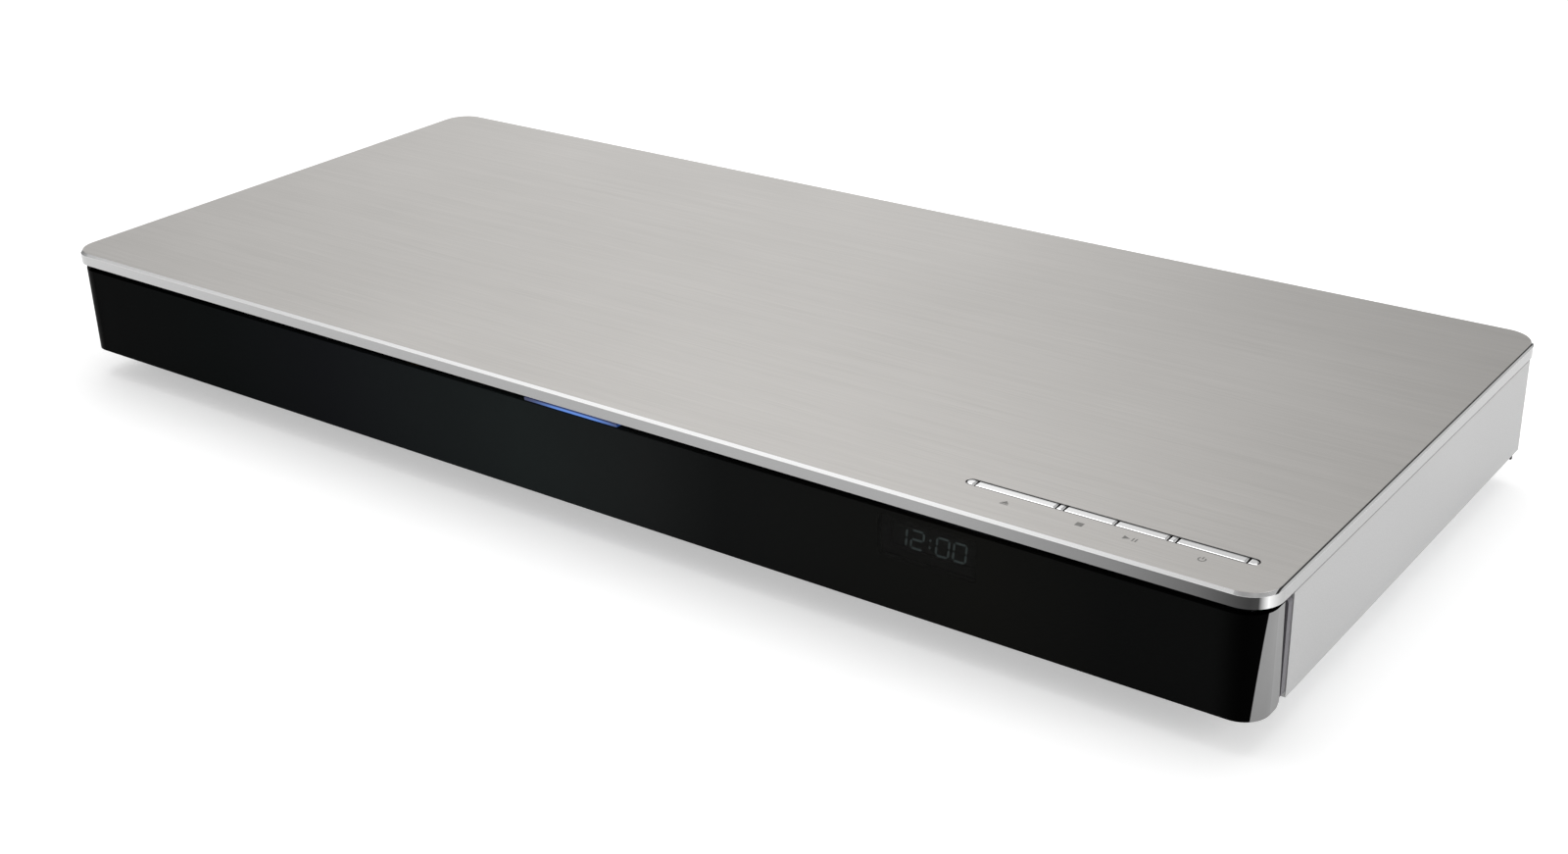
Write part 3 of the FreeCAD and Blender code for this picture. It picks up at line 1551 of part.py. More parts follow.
def lan_socket():
    hole_z = board_top + lan_hole_lift
    shell = socket_shell(lan_x, lan_width, lan_height, lan_length, lan_back_wall, lan_hole_width, lan_hole_height,
                         hole_z)
    y1 = rear_outer + socket_proud
    key = centred_box(lan_x, lan_key_width, y1 - lan_key_length, y1 + past, hole_z - lan_key_drop, hole_z + bite)
    return shell.cut(key)


def optical_socket():
    lift = board_top + seat_gap + optical_hole_lift
    return socket_shell(optical_x, optical_width, optical_height, optical_length, optical_back_wall,
                        optical_hole, optical_hole, lift)


def av_jacks():
    z = board_top + jack_level
    y1 = rear_outer + jack_proud
    block_y1 = rear_inner - part_gap
    x0 = jack_x - (jack_count - 0.5) * jack_pitch + socket_wall
    x1 = jack_x + jack_pitch / 2 - socket_wall
    shapes = [box(x0, x1, block_y1 - jack_block_depth, block_y1, board_top + seat_gap, board_top + jack_block_height)]
    xs = [jack_x - i * jack_pitch for i in range(jack_count)]
    shapes += [bar_along_y(x, block_y1 - past, y1, z, jack_radius) for x in xs]
    holes = [bar_along_y(x, y1 - jack_hole_depth, y1 + past, z, jack_hole_radius) for x in xs]
    return join(shapes).cut(group(holes))


def ac_inlet():
    z0 = board_top + seat_gap
    y1 = rear_outer + socket_proud
    y_floor = y1 - inlet_hole_depth
    body = centred_box(inlet_x, inlet_width, y1 - inlet_length, y1, z0, z0 + inlet_height)
    mid = z0 + inlet_height / 2
    r = inlet_hole_height / 2
    offset = inlet_hole_width / 2 - r
    hollow = join([
        bar_along_y(inlet_x - offset, y_floor, y1 + past, mid, r),
        bar_along_y(inlet_x + offset, y_floor, y1 + past, mid, r),
        centred_box(inlet_x, 2 * offset, y_floor, y1 + past, mid - r, mid + r),
    ])
    pins = []
    for sign in (-1, 1):
        x = inlet_x + sign * inlet_pin_spacing / 2
        pins.append(bar_along_y(x, y_floor - past, y1 - inlet_pin_setback, mid, inlet_pin_radius))
    return join([body.cut(hollow)] + pins)


def transformer():
    x = power_board_left + transformer_inset
    y = front_y + power_board_front + transformer_setback
    z0 = board_top + seat_gap
    w, d = transformer_width / 2, transformer_depth / 2
    b = bobbin_inset
    core = box(x - w, x + w, y - d + b, y + d - b, z0 + bobbin_flange, z0 + transformer_height)
    bobbin = box(x - w + b, x + w - b, y - d, y + d, z0, z0 + transformer_height - bobbin_flange)
    return join([core, bobbin])


def capacitors():
    z0 = board_top + seat_gap
    y = front_y + power_board_front
    cans = [post(power_board_right - capacitor_inset, y + capacitor_setback, z0, z0 + capacitor_height,
                 capacitor_radius)]
    for i in range(small_can_count):
        x = power_board_left + small_can_inset + i * small_can_pitch
        cans.append(post(x, y + small_can_setback, z0, z0 + small_can_height, small_can_radius))
    return group(cans)


def flex_cables():
    # Flat ribbons: drive to main board, and front board to main board, each a bent strip
    y_front = front_board_span()[1]
    z_low = board_top + ribbon_lift
    t = ribbon_thickness
    strips = []
    y_board = front_y + main_board_front
    bend = ribbon_bend
    low = front_board_low + bend / 4
    front = [(y_front + seat_gap, low + bend), (y_front + bend, low), (y_board + bend, z_low)]
    loop = [(0, y, z) for y, z in front] + [(0, y, z + t) for y, z in reversed(front)]
    strip = face_of(loop).extrude(Vec(front_ribbon_width, 0, 0))
    strip.translate(Vec(card_x + card_width / 2 + front_ribbon_gap, 0, 0))
    strips.append(strip)
    left = drive_right + part_gap
    y = disc_y + drive_ribbon_setback
    side = [(left, z_low + 2 * bend), (left + bend, z_low + bend / 2), (main_board_left + drive_ribbon_reach, z_low)]
    loop = [(x, y, z) for x, z in side] + [(x, y, z + t) for x, z in reversed(side)]
    strips.append(face_of(loop).extrude(Vec(0, drive_ribbon_width, 0)))
    return group(strips)


def board_screws():
    places = main_board_holes() + power_board_holes()
    screws = [screw(x, y, board_top + seat_gap, board_top - pan_bottom) for x, y in places]
    return group(screws)


def drive_screws():
    seat = drive_floor() + drive_floor_thickness
    return group([screw(x, y, seat + seat_gap, seat - pan_bottom) for x, y in drive_holes()])


def cover_screws():
    # One at each side, through the rear panel into the side panel's lug
    x, z = cover_screw_place()
    screws = []
    for sign in (-1, 1):
        s = screw(0, 0, 0, sheet * 3)
        s.rotate(Vec(0, 0, 0), Vec(1, 0, 0), -90)
        s.translate(Vec(sign * x, rear_outer + seat_gap, z))
        screws.append(s)
    return group(screws)


pieces = {
    "top_plate": top_plate(),
    "side_panel_left": side_panel(-1),
    "side_panel_right": side_panel(1),
    "rear_panel": rear_panel(),
    "bottom_chassis": bottom_chassis(),
    "feet": feet(),
    "front_flap": front_flap(),
    "flap_pins": flap_pins(),
    "front_frame": front_frame(),
    "light_guide": light_guide(),
    "display_module": display_module(),
    "front_board": front_board(),
    "remote_sensor": remote_sensor(),
    "front_usb_socket": front_usb_socket(),
    "sd_card_slot": sd_card_slot(),
    "button_bezel": button_bezel(),
    "button_board": button_board(),
    "button_switches": button_switches(),
    "disc_tray": disc_tray(),
    "drive_frame": drive_frame(),
    "tray_gear": tray_gear(),
    "pulley_gear": pulley_gear(),
    "motor_pulley": motor_pulley(),
    "loading_belt": loading_belt(),
    "loading_motor": loading_motor(),
    "traverse_base": traverse_base(),
    "guide_rods": guide_rods(),
    "spindle_motor": spindle_motor(),
    "turntable": turntable(),
    "pickup_sled": pickup_sled(),
    "objective_lens": objective_lens(),
    "lead_screw": lead_screw(),
    "sled_motor": sled_motor(),
    "clamp_bridge": clamp_bridge(),
    "clamper": clamper(),
    "main_board": main_board(),
    "power_board": power_board(),
    "board_chips": board_chips(),
    "heat_sink": heat_sink(),
    "hdmi_socket": hdmi_socket(),
    "lan_socket": lan_socket(),
    "optical_socket": optical_socket(),
    "av_jacks": av_jacks(),
    "ac_inlet": ac_inlet(),
    "transformer": transformer(),
    "capacitors": capacitors(),
    "flex_cables": flex_cables(),
    "board_screws": board_screws(),
    "drive_screws": drive_screws(),
    "cover_screws": cover_screws(),
}
for name in button_places()[0]:
    pieces["button_" + name] = button(name)

os.makedirs("parts", exist_ok=True)
for name, shape in pieces.items():
    shape.exportStep("parts/" + name + ".step")
    print(name, len(shape.Solids), round(shape.Volume, 1))
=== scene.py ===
import bpy
import bmesh
import json
import math
import numpy as np
from mathutils import Matrix, Vector


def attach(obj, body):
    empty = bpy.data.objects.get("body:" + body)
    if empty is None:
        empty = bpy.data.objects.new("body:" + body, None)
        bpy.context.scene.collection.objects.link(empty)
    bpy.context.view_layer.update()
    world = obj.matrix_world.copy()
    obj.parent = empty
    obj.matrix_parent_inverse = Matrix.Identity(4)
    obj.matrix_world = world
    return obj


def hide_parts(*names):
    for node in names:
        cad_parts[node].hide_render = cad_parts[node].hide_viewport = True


# Looks of a slim disc player: brushed cover, gloss black flap, silver sides, and what shows when it opens
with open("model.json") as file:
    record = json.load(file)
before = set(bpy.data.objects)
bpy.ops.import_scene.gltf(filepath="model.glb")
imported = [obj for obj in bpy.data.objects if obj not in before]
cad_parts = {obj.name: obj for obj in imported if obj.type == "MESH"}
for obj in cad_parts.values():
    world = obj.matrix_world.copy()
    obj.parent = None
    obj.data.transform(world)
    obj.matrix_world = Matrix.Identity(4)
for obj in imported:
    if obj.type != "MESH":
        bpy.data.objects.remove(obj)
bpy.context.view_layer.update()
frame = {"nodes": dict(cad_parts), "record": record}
nodes = frame["nodes"]
slotOf = {s["node"]: s["material_slot"] for s in frame["record"]["subparts"]}
mm = 0.001
print("stage: frame loaded,", len(nodes), "nodes")


# Shader maths: a socket with operators, so that 1 - mask * 0.3 adds its own Math nodes
class Sock:
    def __init__(self, shader, socket):
        self.shader = shader
        self.socket = socket

    def op(self, kind, *others, clamp=False):
        return self.shader.node("ShaderNodeMath", {"operation": kind, "use_clamp": clamp}, [self, *others])

    def __add__(self, other):
        return self.op("ADD", other)

    def __radd__(self, other):
        return self.op("ADD", other)

    def __sub__(self, other):
        return self.op("SUBTRACT", other)

    def __rsub__(self, other):
        return self.shader.node("ShaderNodeMath", {"operation": "SUBTRACT"}, [other, self])

    def __mul__(self, other):
        return self.op("MULTIPLY", other)

    def __pow__(self, other):
        return self.op("POWER", other)

    def absolute(self):
        return self.op("ABSOLUTE")

    def larger(self, other):
        return self.op("MAXIMUM", other)

    def clamped(self):
        return self.op("ADD", 0.0, clamp=True)

    # 0 below low, 1 above high, smooth between them
    def step(self, low, high):
        return self.shader.node("ShaderNodeMapRange", {"interpolation_type": "SMOOTHSTEP"},
                                {"Value": self, "From Min": low, "From Max": high})

    # 1 between low and high, 0 outside, over a soft edge
    def within(self, low, high, soft):
        return self.step(low - soft, low + soft) - self.step(high - soft, high + soft)


class Shader:
    def __init__(self, name, world=None):
        owner = world or bpy.data.materials.new(name)
        owner.use_nodes = True
        self.material = owner
        self.tree = owner.node_tree
        self.tree.nodes.clear()
        kinds = ("ShaderNodeOutputWorld", "ShaderNodeBackground") if world else (
            "ShaderNodeOutputMaterial", "ShaderNodeBsdfPrincipled")
        self.out, self.bsdf = (self.tree.nodes.new(kind) for kind in kinds)
        self.tree.links.new(self.bsdf.outputs[0], self.out.inputs[0])

    # Any node: its settings or ramp stops first, then its sockets' values or links
    def node(self, kind, settings=None, inputs=None, output=0):
        made = self.tree.nodes.new(kind)
        for key, value in (settings or {}).items():
            if key == "stops":
                ramp = made.color_ramp
                while len(ramp.elements) < len(value):
                    ramp.elements.new(0.5)
                for element, (place, colour) in zip(ramp.elements, value):
                    element.position = place
                    element.color = (*colour, 1.0)
            else:
                setattr(made, key, value)
        pairs = inputs.items() if isinstance(inputs, dict) else enumerate(inputs or [])
        for key, value in pairs:
            self.plug(made.inputs[key], value)
        return Sock(self, made.outputs[output])

    def plug(self, socket, value):
        if isinstance(value, Sock):
            self.tree.links.new(value.socket, socket)
        elif isinstance(value, tuple) and len(value) == 3 and socket.type == "RGBA":
            socket.default_value = (*value, 1.0)
        else:
            socket.default_value = value

    def set(self, **values):
        for key, value in values.items():
            self.plug(self.bsdf.inputs[socketNames[key]], value)
        return self

    def place(self, output="Object"):
        return self.node("ShaderNodeTexCoord", output=output)

    # The three coordinates, in millimetres unless another unit is given
    def axes(self, output="Object", unit=mm):
        split = self.node("ShaderNodeSeparateXYZ", None, [self.place(output)])
        return tuple(Sock(self, coordinate) * (1 / unit) for coordinate in split.socket.node.outputs)

    # Noise on object coordinates, with its own scale along each axis
    def noise(self, scale, detail=2.0, stretch=(1, 1, 1), roughness=0.5):
        mapped = self.node("ShaderNodeMapping", None, {"Vector": self.place(), "Scale": stretch})
        return self.node("ShaderNodeTexNoise", None,
                         {"Vector": mapped, "Scale": scale, "Detail": detail, "Roughness": roughness})

    # Distance from an upright or other axis through a point: root of the sum of two squares
    def reach(self, first, second, centre):
        a, b = first - centre[0], second - centre[1]
        return (a * a + b * b) ** 0.5

    def mix(self, factor, low, high):
        return self.node("ShaderNodeMix", {"data_type": "RGBA"}, {0: factor, 6: low, 7: high}, 2)

    # Shades at places along a coordinate that runs from -half to half; a plain number stands for a grey
    def ramp(self, along, half, places):
        stops = [((place / half + 1) / 2, shade if isinstance(shade, tuple) else grey(shade))
                 for place, shade in places]
        return self.node("ShaderNodeValToRGB", {"stops": stops}, [along * (0.5 / half) + 0.5])

    # Small relief, its depth in millimetres
    def bump(self, height, depth, strength):
        normal = self.node("ShaderNodeBump", None,
                           {"Height": height, "Distance": depth * mm, "Strength": strength})
        return self.set(normal=normal)


socketNames = {
    "color": "Base Color", "rough": "Roughness", "metal": "Metallic", "normal": "Normal", "alpha": "Alpha",
    "glow": "Emission Color", "glowStrength": "Emission Strength", "specular": "Specular IOR Level",
    "ior": "IOR", "coat": "Coat Weight", "coatRough": "Coat Roughness", "coatIor": "Coat IOR", "sky": "Color",
}


# sRGB values from 0 to 255 as a linear colour
def tone(red, green, blue):
    parts = []
    for value in (red, green, blue):
        v = value / 255
        parts.append(v / 12.92 if v <= 0.04045 else ((v + 0.055) / 1.055) ** 2.4)
    return tuple(parts)


def grey(value):
    return (value, value, value)


# Places, edges and depths of every look below are millimetres in the player's own frame

# Brushed cover: its height picks the grained top, the polished bevel and the rim. Bevel and rim take their
# shade from x as a painted reflection of a bright left, a dark front right and the pale side, with a painted
# dark line on the right bevel
coverLook = {
    "half": 207.5, "top": (42.86, 42.96), "rimTop": (42.12, 42.2),
    "light": (0.60, 0.583, 0.562), "dark": (0.50, 0.485, 0.465),
    "grains": [(0.4, 3.0, (60.0, 9000.0, 900.0), 0.6), (0.4, 2.0, (25.0, 3500.0, 700.0), 0.5),
               (0.2, 2.0, (9.0, 620.0, 200.0), 0.5)],
    "grainDepth": 0.015,
    "rim": [(-207.5, 0.5), (-100, 0.4), (0, 0.36), (60, 0.36), (120, 0.33), (170, 0.2), (190, 0.12),
            (202.5, 0.04), (204.6, 0.05), (206.0, 0.9), (207.2, 0.85), (207.5, 0.4)],
    "bevelPaintedReflection": [(-207.5, 0.7), (-190, 0.93), (200, 0.93), (204.5, 0.6), (207.5, 0.93)],
    "line": (206.66, 207.06), "lineSoft": 0.03, "lineShade": 0.07,
}


def coverPlate():
    c = coverLook
    s = Shader("coverPlate")
    x, y, z = s.axes()
    grain = sum(s.noise(1.0, detail, stretch, roughness) * share
                for share, detail, stretch, roughness in c["grains"])
    cloud = s.noise(11.0, 2.0)
    top = z.step(*c["top"])
    rim = 1 - z.step(*c["rimTop"])
    brushed = s.mix((grain * 0.8 + cloud * 0.2).step(0.32, 0.68), c["dark"], c["light"])
    # The bevel's and rim's shades along x and the dark line on the right bevel are painted reflections
    line = x.within(*c["line"], c["lineSoft"])
    bevelPaintedReflection = s.mix(line, s.ramp(x, c["half"], c["bevelPaintedReflection"]), grey(c["lineShade"]))
    s.set(color=s.mix(rim, s.mix(top, bevelPaintedReflection, brushed), s.ramp(x, c["half"], c["rim"])), metal=1.0,
          rough=top * (grain * 0.12 + 0.2) + 0.13 + cloud * 0.02)
    s.bump(grain * top, c["grainDepth"], 0.3)
    return s.material


# Side sheets: finely flecked silver, and a painted shadow line along the top, under the cover's rim
sheetLook = {"low": tone(181, 181, 181), "high": tone(190, 190, 190), "gap": (37.22, 37.3),
             "paintedRimShadowTone": tone(112, 112, 112)}


def silverSheet():
    c = sheetLook
    s = Shader("silverSheet")
    x, y, z = s.axes()
    fleck = s.noise(2600.0, 2.0)
    cloud = s.noise(9.0, 2.0)
    sheet = s.mix((fleck * 0.7 + cloud * 0.3).step(0.35, 0.65), c["low"], c["high"])
    # Above the gap level the sheet takes a painted shadow from the cover's rim
    s.set(color=s.mix(z.step(*c["gap"]), sheet, c["paintedRimShadowTone"]), metal=0.3, rough=fleck * 0.1 + 0.34)
    s.bump(fleck, 0.01, 0.15)
    return s.material


# Any plain metal: two tones, fine grain that can be stretched along an axis, and slow clouds
def plainMetal(name, low, high, rough, stretch=(1, 1, 1), scale=900.0, metal=1.0):
    s = Shader(name)
    grain = s.noise(scale, 3.0, stretch)
    cloud = s.noise(38.0, 2.0)
    s.set(color=s.mix((grain * 0.6 + cloud * 0.4).step(0.3, 0.7), low, high), metal=metal,
          rough=grain * 0.12 + cloud * 0.08 + (rough - 0.1))
    s.bump(grain, 0.02, 0.25)
    return s.material


# Zinc sheet: flat crystals a few millimetres wide, each with its own shade
def zincSheet():
    s = Shader("zincSheet")
    cells = s.node("ShaderNodeTexVoronoi", None, {"Vector": s.place(), "Scale": 260.0}, 1)
    shade = s.node("ShaderNodeSeparateColor", None, [cells])
    grain = s.noise(1400.0, 2.0)
    s.set(color=s.mix((shade * 0.7 + grain * 0.3).step(0.1, 0.9), tone(148, 151, 152), tone(186, 188, 190)),
          metal=1.0, rough=shade * 0.16 + 0.3)
    s.bump(grain, 0.01, 0.2)
    return s.material


# Any moulded or painted surface: two tones, a fine texture of its own depth, and slow clouds
def moulded(name, low, high, rough, texture=1800.0, depth=0.02, coat=0.0):
    s = Shader(name)
    pit = s.noise(texture, 2.0)
    cloud = s.noise(22.0, 3.0)
    s.set(color=s.mix((pit * 0.5 + cloud * 0.5).step(0.3, 0.7), low, high),
          rough=cloud * 0.1 + (rough - 0.05), coat=coat)
    s.bump(pit, depth, 0.5)
    return s.material


# Gloss flap: nearly no mirror image but at its two ends, whose bright part widens downwards, a painted
# reflection that changes in shade along its face and turns near black towards the ends, and a smoked window
# in front of the clock with a faint painted glow
flapLook = {
    "half": 207.5, "end": (205.44, 205.56), "endTop": 37.0, "endSlant": 0.06, "ior": 1.05, "coatIor": 2.9,
    "corner": (194.0, 202.0), "paintedCornerShade": 0.0004,
    "windowX": (105.0, 132.4), "windowZ": (24.4, 35.2), "windowSoft": 0.8, "windowClear": 0.3,
    "windowPaintedGlow": 0.0024,
    "paintedReflectionShades": [(-187, (0.0030, 0.0034, 0.0034)), (-140, (0.0044, 0.0060, 0.0060)),
               (-92, (0.0095, 0.0105, 0.0125)), (-14, (0.021, 0.026, 0.026)), (31, (0.018, 0.0195, 0.0195)),
               (55, (0.0105, 0.0113, 0.0112)), (134, (0.0100, 0.0100, 0.0088)),
               (170, (0.0065, 0.0068, 0.0066))],
}


def glossFlap():
    c = flapLook
    s = Shader("glossFlap")
    x, y, z = s.axes()
    haze = s.noise(9.0, 4.0)
    dust = s.noise(700.0, 2.0)
    end = (x.absolute() + (c["endTop"] - z) * c["endSlant"]).step(*c["end"])
    # In the window the flap gets a faint painted glow, which makes up for the darker inside seen through it
    window = x.within(*c["windowX"], c["windowSoft"]) * z.within(*c["windowZ"], c["windowSoft"])
    face = (1 - x.absolute().step(*c["corner"])) * (haze * 0.4 + 0.6)
    # The shades along x are a painted reflection, which turns to a painted near-black shade towards the ends
    s.set(color=s.mix(face, grey(c["paintedCornerShade"]), s.ramp(x, c["half"], c["paintedReflectionShades"])),
          rough=haze * 0.03 + dust * 0.02 + 0.02, ior=c["ior"],
          coat=end, coatIor=c["coatIor"], coatRough=0.04, alpha=1 - window * c["windowClear"],
          glow=s.mix(window, grey(0.0), grey(c["windowPaintedGlow"])), glowStrength=1.0)
    return s.material


# Front frame: fine-textured black, with the two grey ends that show beside the flap
frameLook = {"end": (203.4, 203.6), "black": (tone(17, 17, 18), tone(29, 29, 31)),
             "grey": (tone(96, 94, 99), tone(108, 106, 111))}


def frontFrame():
    c = frameLook
    s = Shader("frontFrame")
    x, y, z = s.axes()
    pit = s.noise(1900.0, 2.0)
    cloud = s.noise(22.0, 3.0)
    black = s.mix((pit * 0.5 + cloud * 0.5).step(0.3, 0.7), *c["black"])
    strip = s.mix(pit.step(0.3, 0.7), *c["grey"])
    s.set(color=s.mix(x.absolute().step(*c["end"]), black, strip), rough=cloud * 0.1 + 0.42)
    s.bump(pit, 0.02, 0.4)
    return s.material


# Solder mask over a dense net of tracks, with small round pads
def circuitBoard(name, low, high):
    s = Shader(name)
    tracks = s.node("ShaderNodeTexBrick", None, {"Vector": s.place(), "Scale": 90.0, "Mortar Size": 0.02}, 1)
    pads = s.node("ShaderNodeTexVoronoi", None, {"Vector": s.place(), "Scale": 310.0})
    grain = s.noise(420.0, 3.0)
    mask = (tracks * 0.4 + grain * 0.6).step(0.35, 0.65)
    solder = 1 - pads.step(0.12, 0.16)
    s.set(color=s.mix(solder, s.mix(mask, low, high), tone(168, 166, 156)), metal=solder * 0.8,
          rough=grain * 0.2 + 0.26)
    s.bump(grain + tracks * 0.5 + solder, 0.04, 0.4)
    return s.material


# Light guide: blue that fades from its middle to both ends, and dims at its upper edge
lightLook = {"middle": 7.0, "half": 17.5, "upper": (37.8, 38.1), "dim": tone(18, 26, 66),
             "bright": tone(78, 130, 216)}


def clearGuide():
    c = lightLook
    s = Shader("clearGuide")
    x, y, z = s.axes()
    near = 1 - ((x - c["middle"]).absolute() * (1 / c["half"])).clamped()
    haze = s.noise(300.0, 2.0)
    low = 1 - z.step(*c["upper"])
    lit = (near * 0.9 + haze * 0.1).step(0.0, 0.75) * (low * 0.85 + 0.15)
    s.set(color=s.mix(haze, tone(14, 20, 44), tone(20, 28, 56)), rough=0.2,
          glow=s.mix(lit, c["dim"], c["bright"]), glowStrength=1.0)
    return s.material


# Display glass: dark, with a faint painted glow that lifts it to the flap's shade where it shows through the
# window
def displayGlass():
    s = Shader("displayGlass")
    haze = s.noise(160.0, 2.0)
    s.set(color=s.mix(haze, tone(10, 12, 13), tone(15, 18, 19)), rough=haze * 0.05 + 0.08,
          glow=s.mix(haze, grey(0.003), grey(0.005)), glowStrength=1.0)
    return s.material


def clockGlow():
    s = Shader("clockGlow")
    cell = s.noise(2500.0, 1.0)
    s.set(color=tone(50, 60, 60), glow=s.mix(cell.step(0.2, 0.8), tone(118, 134, 134), tone(140, 158, 157)),
          glowStrength=1.0, rough=0.4)
    return s.material


def lensGlass():
    s = Shader("lensGlass")
    haze = s.noise(300.0, 2.0)
    s.set(color=s.mix(haze, tone(96, 118, 170), tone(150, 165, 205)), rough=haze * 0.04 + 0.04, coat=1.0)
    return s.material


# Turntable: grey hub with a black rubber ring under the disc, round the spindle
turntableLook = {"spindle": (-105.0, -2.0), "ring": (9.6, 13.6), "ringSoft": 0.06}


def turntable():
    c = turntableLook
    s = Shader("turntable")
    x, y, z = s.axes()
    ring = s.reach(x, y, c["spindle"]).within(*c["ring"], c["ringSoft"])
    pit = s.noise(2400.0, 2.0)
    s.set(color=s.mix(ring, s.mix(pit, tone(96, 96, 99), tone(118, 118, 121)), tone(24, 24, 25)),
          rough=0.34 + ring * 0.36 + pit * 0.08)
    s.bump(pit + ring * 0.6, 0.03, 0.5)
    return s.material


# Polished bars in the cover's slot: a near-black painted shadow along the front edge and at the slot's ends,
# and white tops with a painted shade that greys them towards the back
barLook = {"front": (-77.32, -77.15), "back": (-75.6, -74.6), "span": (121.75, 198.05), "spanSoft": 0.08}


def polishedBar(name):
    c = barLook
    s = Shader(name)
    x, y, z = s.axes()
    draw = s.noise(60.0, 2.0, (1, 60, 60))
    # Outside this mask, along the front edge and at the slot's ends, is a painted shadow; the grey towards
    # the back is painted shade
    lit = y.step(*c["front"]) * x.within(*c["span"], c["spanSoft"])
    bright = s.mix(y.step(*c["back"]), s.mix(draw, grey(0.9), grey(0.98)), grey(0.3))
    s.set(color=s.mix(lit, grey(0.012), bright), metal=1.0, rough=draw * 0.06 + 0.1)
    s.bump(draw, 0.01, 0.2)
    return s.material


# Mains inlet: black body with two bright pins, at equal distances from its middle
inletLook = {"middle": 172.0, "pin": (3.3, 20.2), "pinEdge": (1.25, 1.35)}


def mainsInlet():
    c = inletLook
    s = Shader("mainsInlet")
    x, y, z = s.axes()
    pin = 1 - s.reach((x - c["middle"]).absolute(), z, c["pin"]).step(*c["pinEdge"])
    pit = s.noise(1700.0, 2.0)
    s.set(color=s.mix(pin, s.mix(pit, tone(18, 18, 19), tone(32, 32, 33)), tone(196, 194, 186)), metal=pin,
          rough=0.5 - pin * 0.26 + pit * 0.06)
    s.bump(pit * (1 - pin), 0.03, 0.5)
    return s.material


# Sleeved cans: dark sleeve with a pale stripe, bare metal on top and in the groove of the smaller ones
canLook = {"bareTop": (33.1, 33.15), "groove": (28.1, 28.3), "grooveSoft": 0.03, "stripeY": (-13.0, -10.6),
           "stripeYSoft": 0.1, "stripeZ": (15.0, 31.0), "stripeZSoft": 0.2}


def sleevedCan():
    c = canLook
    s = Shader("sleevedCan")
    x, y, z = s.axes()
    bare = z.step(*c["bareTop"]).larger(z.within(*c["groove"], c["grooveSoft"]))
    wrap = s.noise(220.0, 2.0)
    stripe = y.within(*c["stripeY"], c["stripeYSoft"]) * z.within(*c["stripeZ"], c["stripeZSoft"])
    sleeve = s.mix(stripe, s.mix(wrap, tone(24, 27, 48), tone(34, 38, 64)), tone(150, 154, 166))
    s.set(color=s.mix(bare, sleeve, tone(198, 199, 201)), metal=bare * 0.95, rough=0.3 + wrap * 0.08)
    s.bump(wrap, 0.01, 0.3)
    return s.material


makers = {
    "brushed_cover": coverPlate,
    "silver_sheet": silverSheet,
    "black_sheet": lambda: moulded("blackSheet", tone(26, 26, 27), tone(40, 40, 41), 0.55, 2400.0, 0.04),
    "zinc_sheet": zincSheet,
    "foot_rubber": lambda: moulded("footRubber", tone(22, 22, 23), tone(38, 38, 39), 0.8, 1300.0, 0.06),
    "gloss_black": glossFlap,
    "steel": lambda: plainMetal("steel", tone(170, 171, 173), tone(205, 206, 208), 0.25),
    "black_plastic": lambda: moulded("blackPlastic", tone(20, 20, 21), tone(32, 32, 34), 0.5),
    "clear_guide": clearGuide,
    "display_glass": displayGlass,
    "circuit_board": lambda: circuitBoard("circuitBoard", tone(12, 62, 36), tone(26, 92, 52)),
    "power_circuit_board": lambda: circuitBoard("powerBoard", tone(150, 118, 66), tone(178, 144, 88)),
    "dark_lens": lambda: moulded("darkLens", tone(26, 12, 20), tone(40, 18, 30), 0.12, 400.0, 0.004, 0.5),
    "tinned_steel": lambda: plainMetal("tinnedSteel", tone(176, 175, 170), tone(208, 207, 202), 0.3,
                                       (1, 1, 3), 500.0),
    "polished_trim": lambda: polishedBar("polishedTrim"),
    "polished_button": lambda: polishedBar("polishedButton"),
    "grey_plastic": lambda: moulded("greyPlastic", tone(72, 72, 75), tone(92, 92, 95), 0.5),
    "white_nylon": lambda: moulded("whiteNylon", tone(214, 211, 203), tone(230, 228, 221), 0.4),
    "brass": lambda: plainMetal("brass", tone(196, 158, 92), tone(222, 186, 116), 0.25),
    "belt_rubber": lambda: moulded("beltRubber", tone(18, 18, 18), tone(30, 30, 30), 0.7),
    "cast_metal": lambda: plainMetal("castMetal", tone(140, 141, 143), tone(170, 171, 173), 0.5,
                                     scale=1500.0),
    "lens_glass": lensGlass,
    "chip_resin": lambda: moulded("chipResin", tone(26, 26, 28), tone(38, 38, 40), 0.45, 3000.0),
    "fin_aluminium": lambda: plainMetal("finAluminium", tone(182, 183, 185), tone(205, 206, 208), 0.35,
                                        (8, 300, 1), 8.0),
    "ferrite": lambda: moulded("ferrite", tone(40, 38, 36), tone(60, 56, 52), 0.6),
    "can_aluminium": sleevedCan,
    "ribbon": lambda: moulded("ribbon", tone(206, 207, 204), tone(226, 227, 224), 0.35, 500.0, 0.01),
    "black_screw": lambda: plainMetal("blackScrew", tone(34, 34, 36), tone(56, 56, 58), 0.4, metal=0.7),
}
nodeLooks = {"front_frame": frontFrame, "turntable": turntable, "ac_inlet": mainsInlet}
finishes = {slotName: make() for slotName, make in makers.items()}
for name, node in nodes.items():
    node.data.materials.clear()
    node.data.materials.append(nodeLooks[name]() if name in nodeLooks else finishes[slotOf[name]])
print("stage: materials on every node")


# Faces that join each ring of points to the next, every ring closed on itself
def ringFaces(rings, around, closed):
    row = np.arange(rings if closed else rings - 1)[:, None] * around
    col = np.arange(around)[None, :]
    nextRow = (row + around) % (rings * around)
    nextCol = (col + 1) % around
    corners = [row + col, row + nextCol, nextRow + nextCol, nextRow + col]
    return np.stack(corners, -1).reshape(-1, 4).tolist()


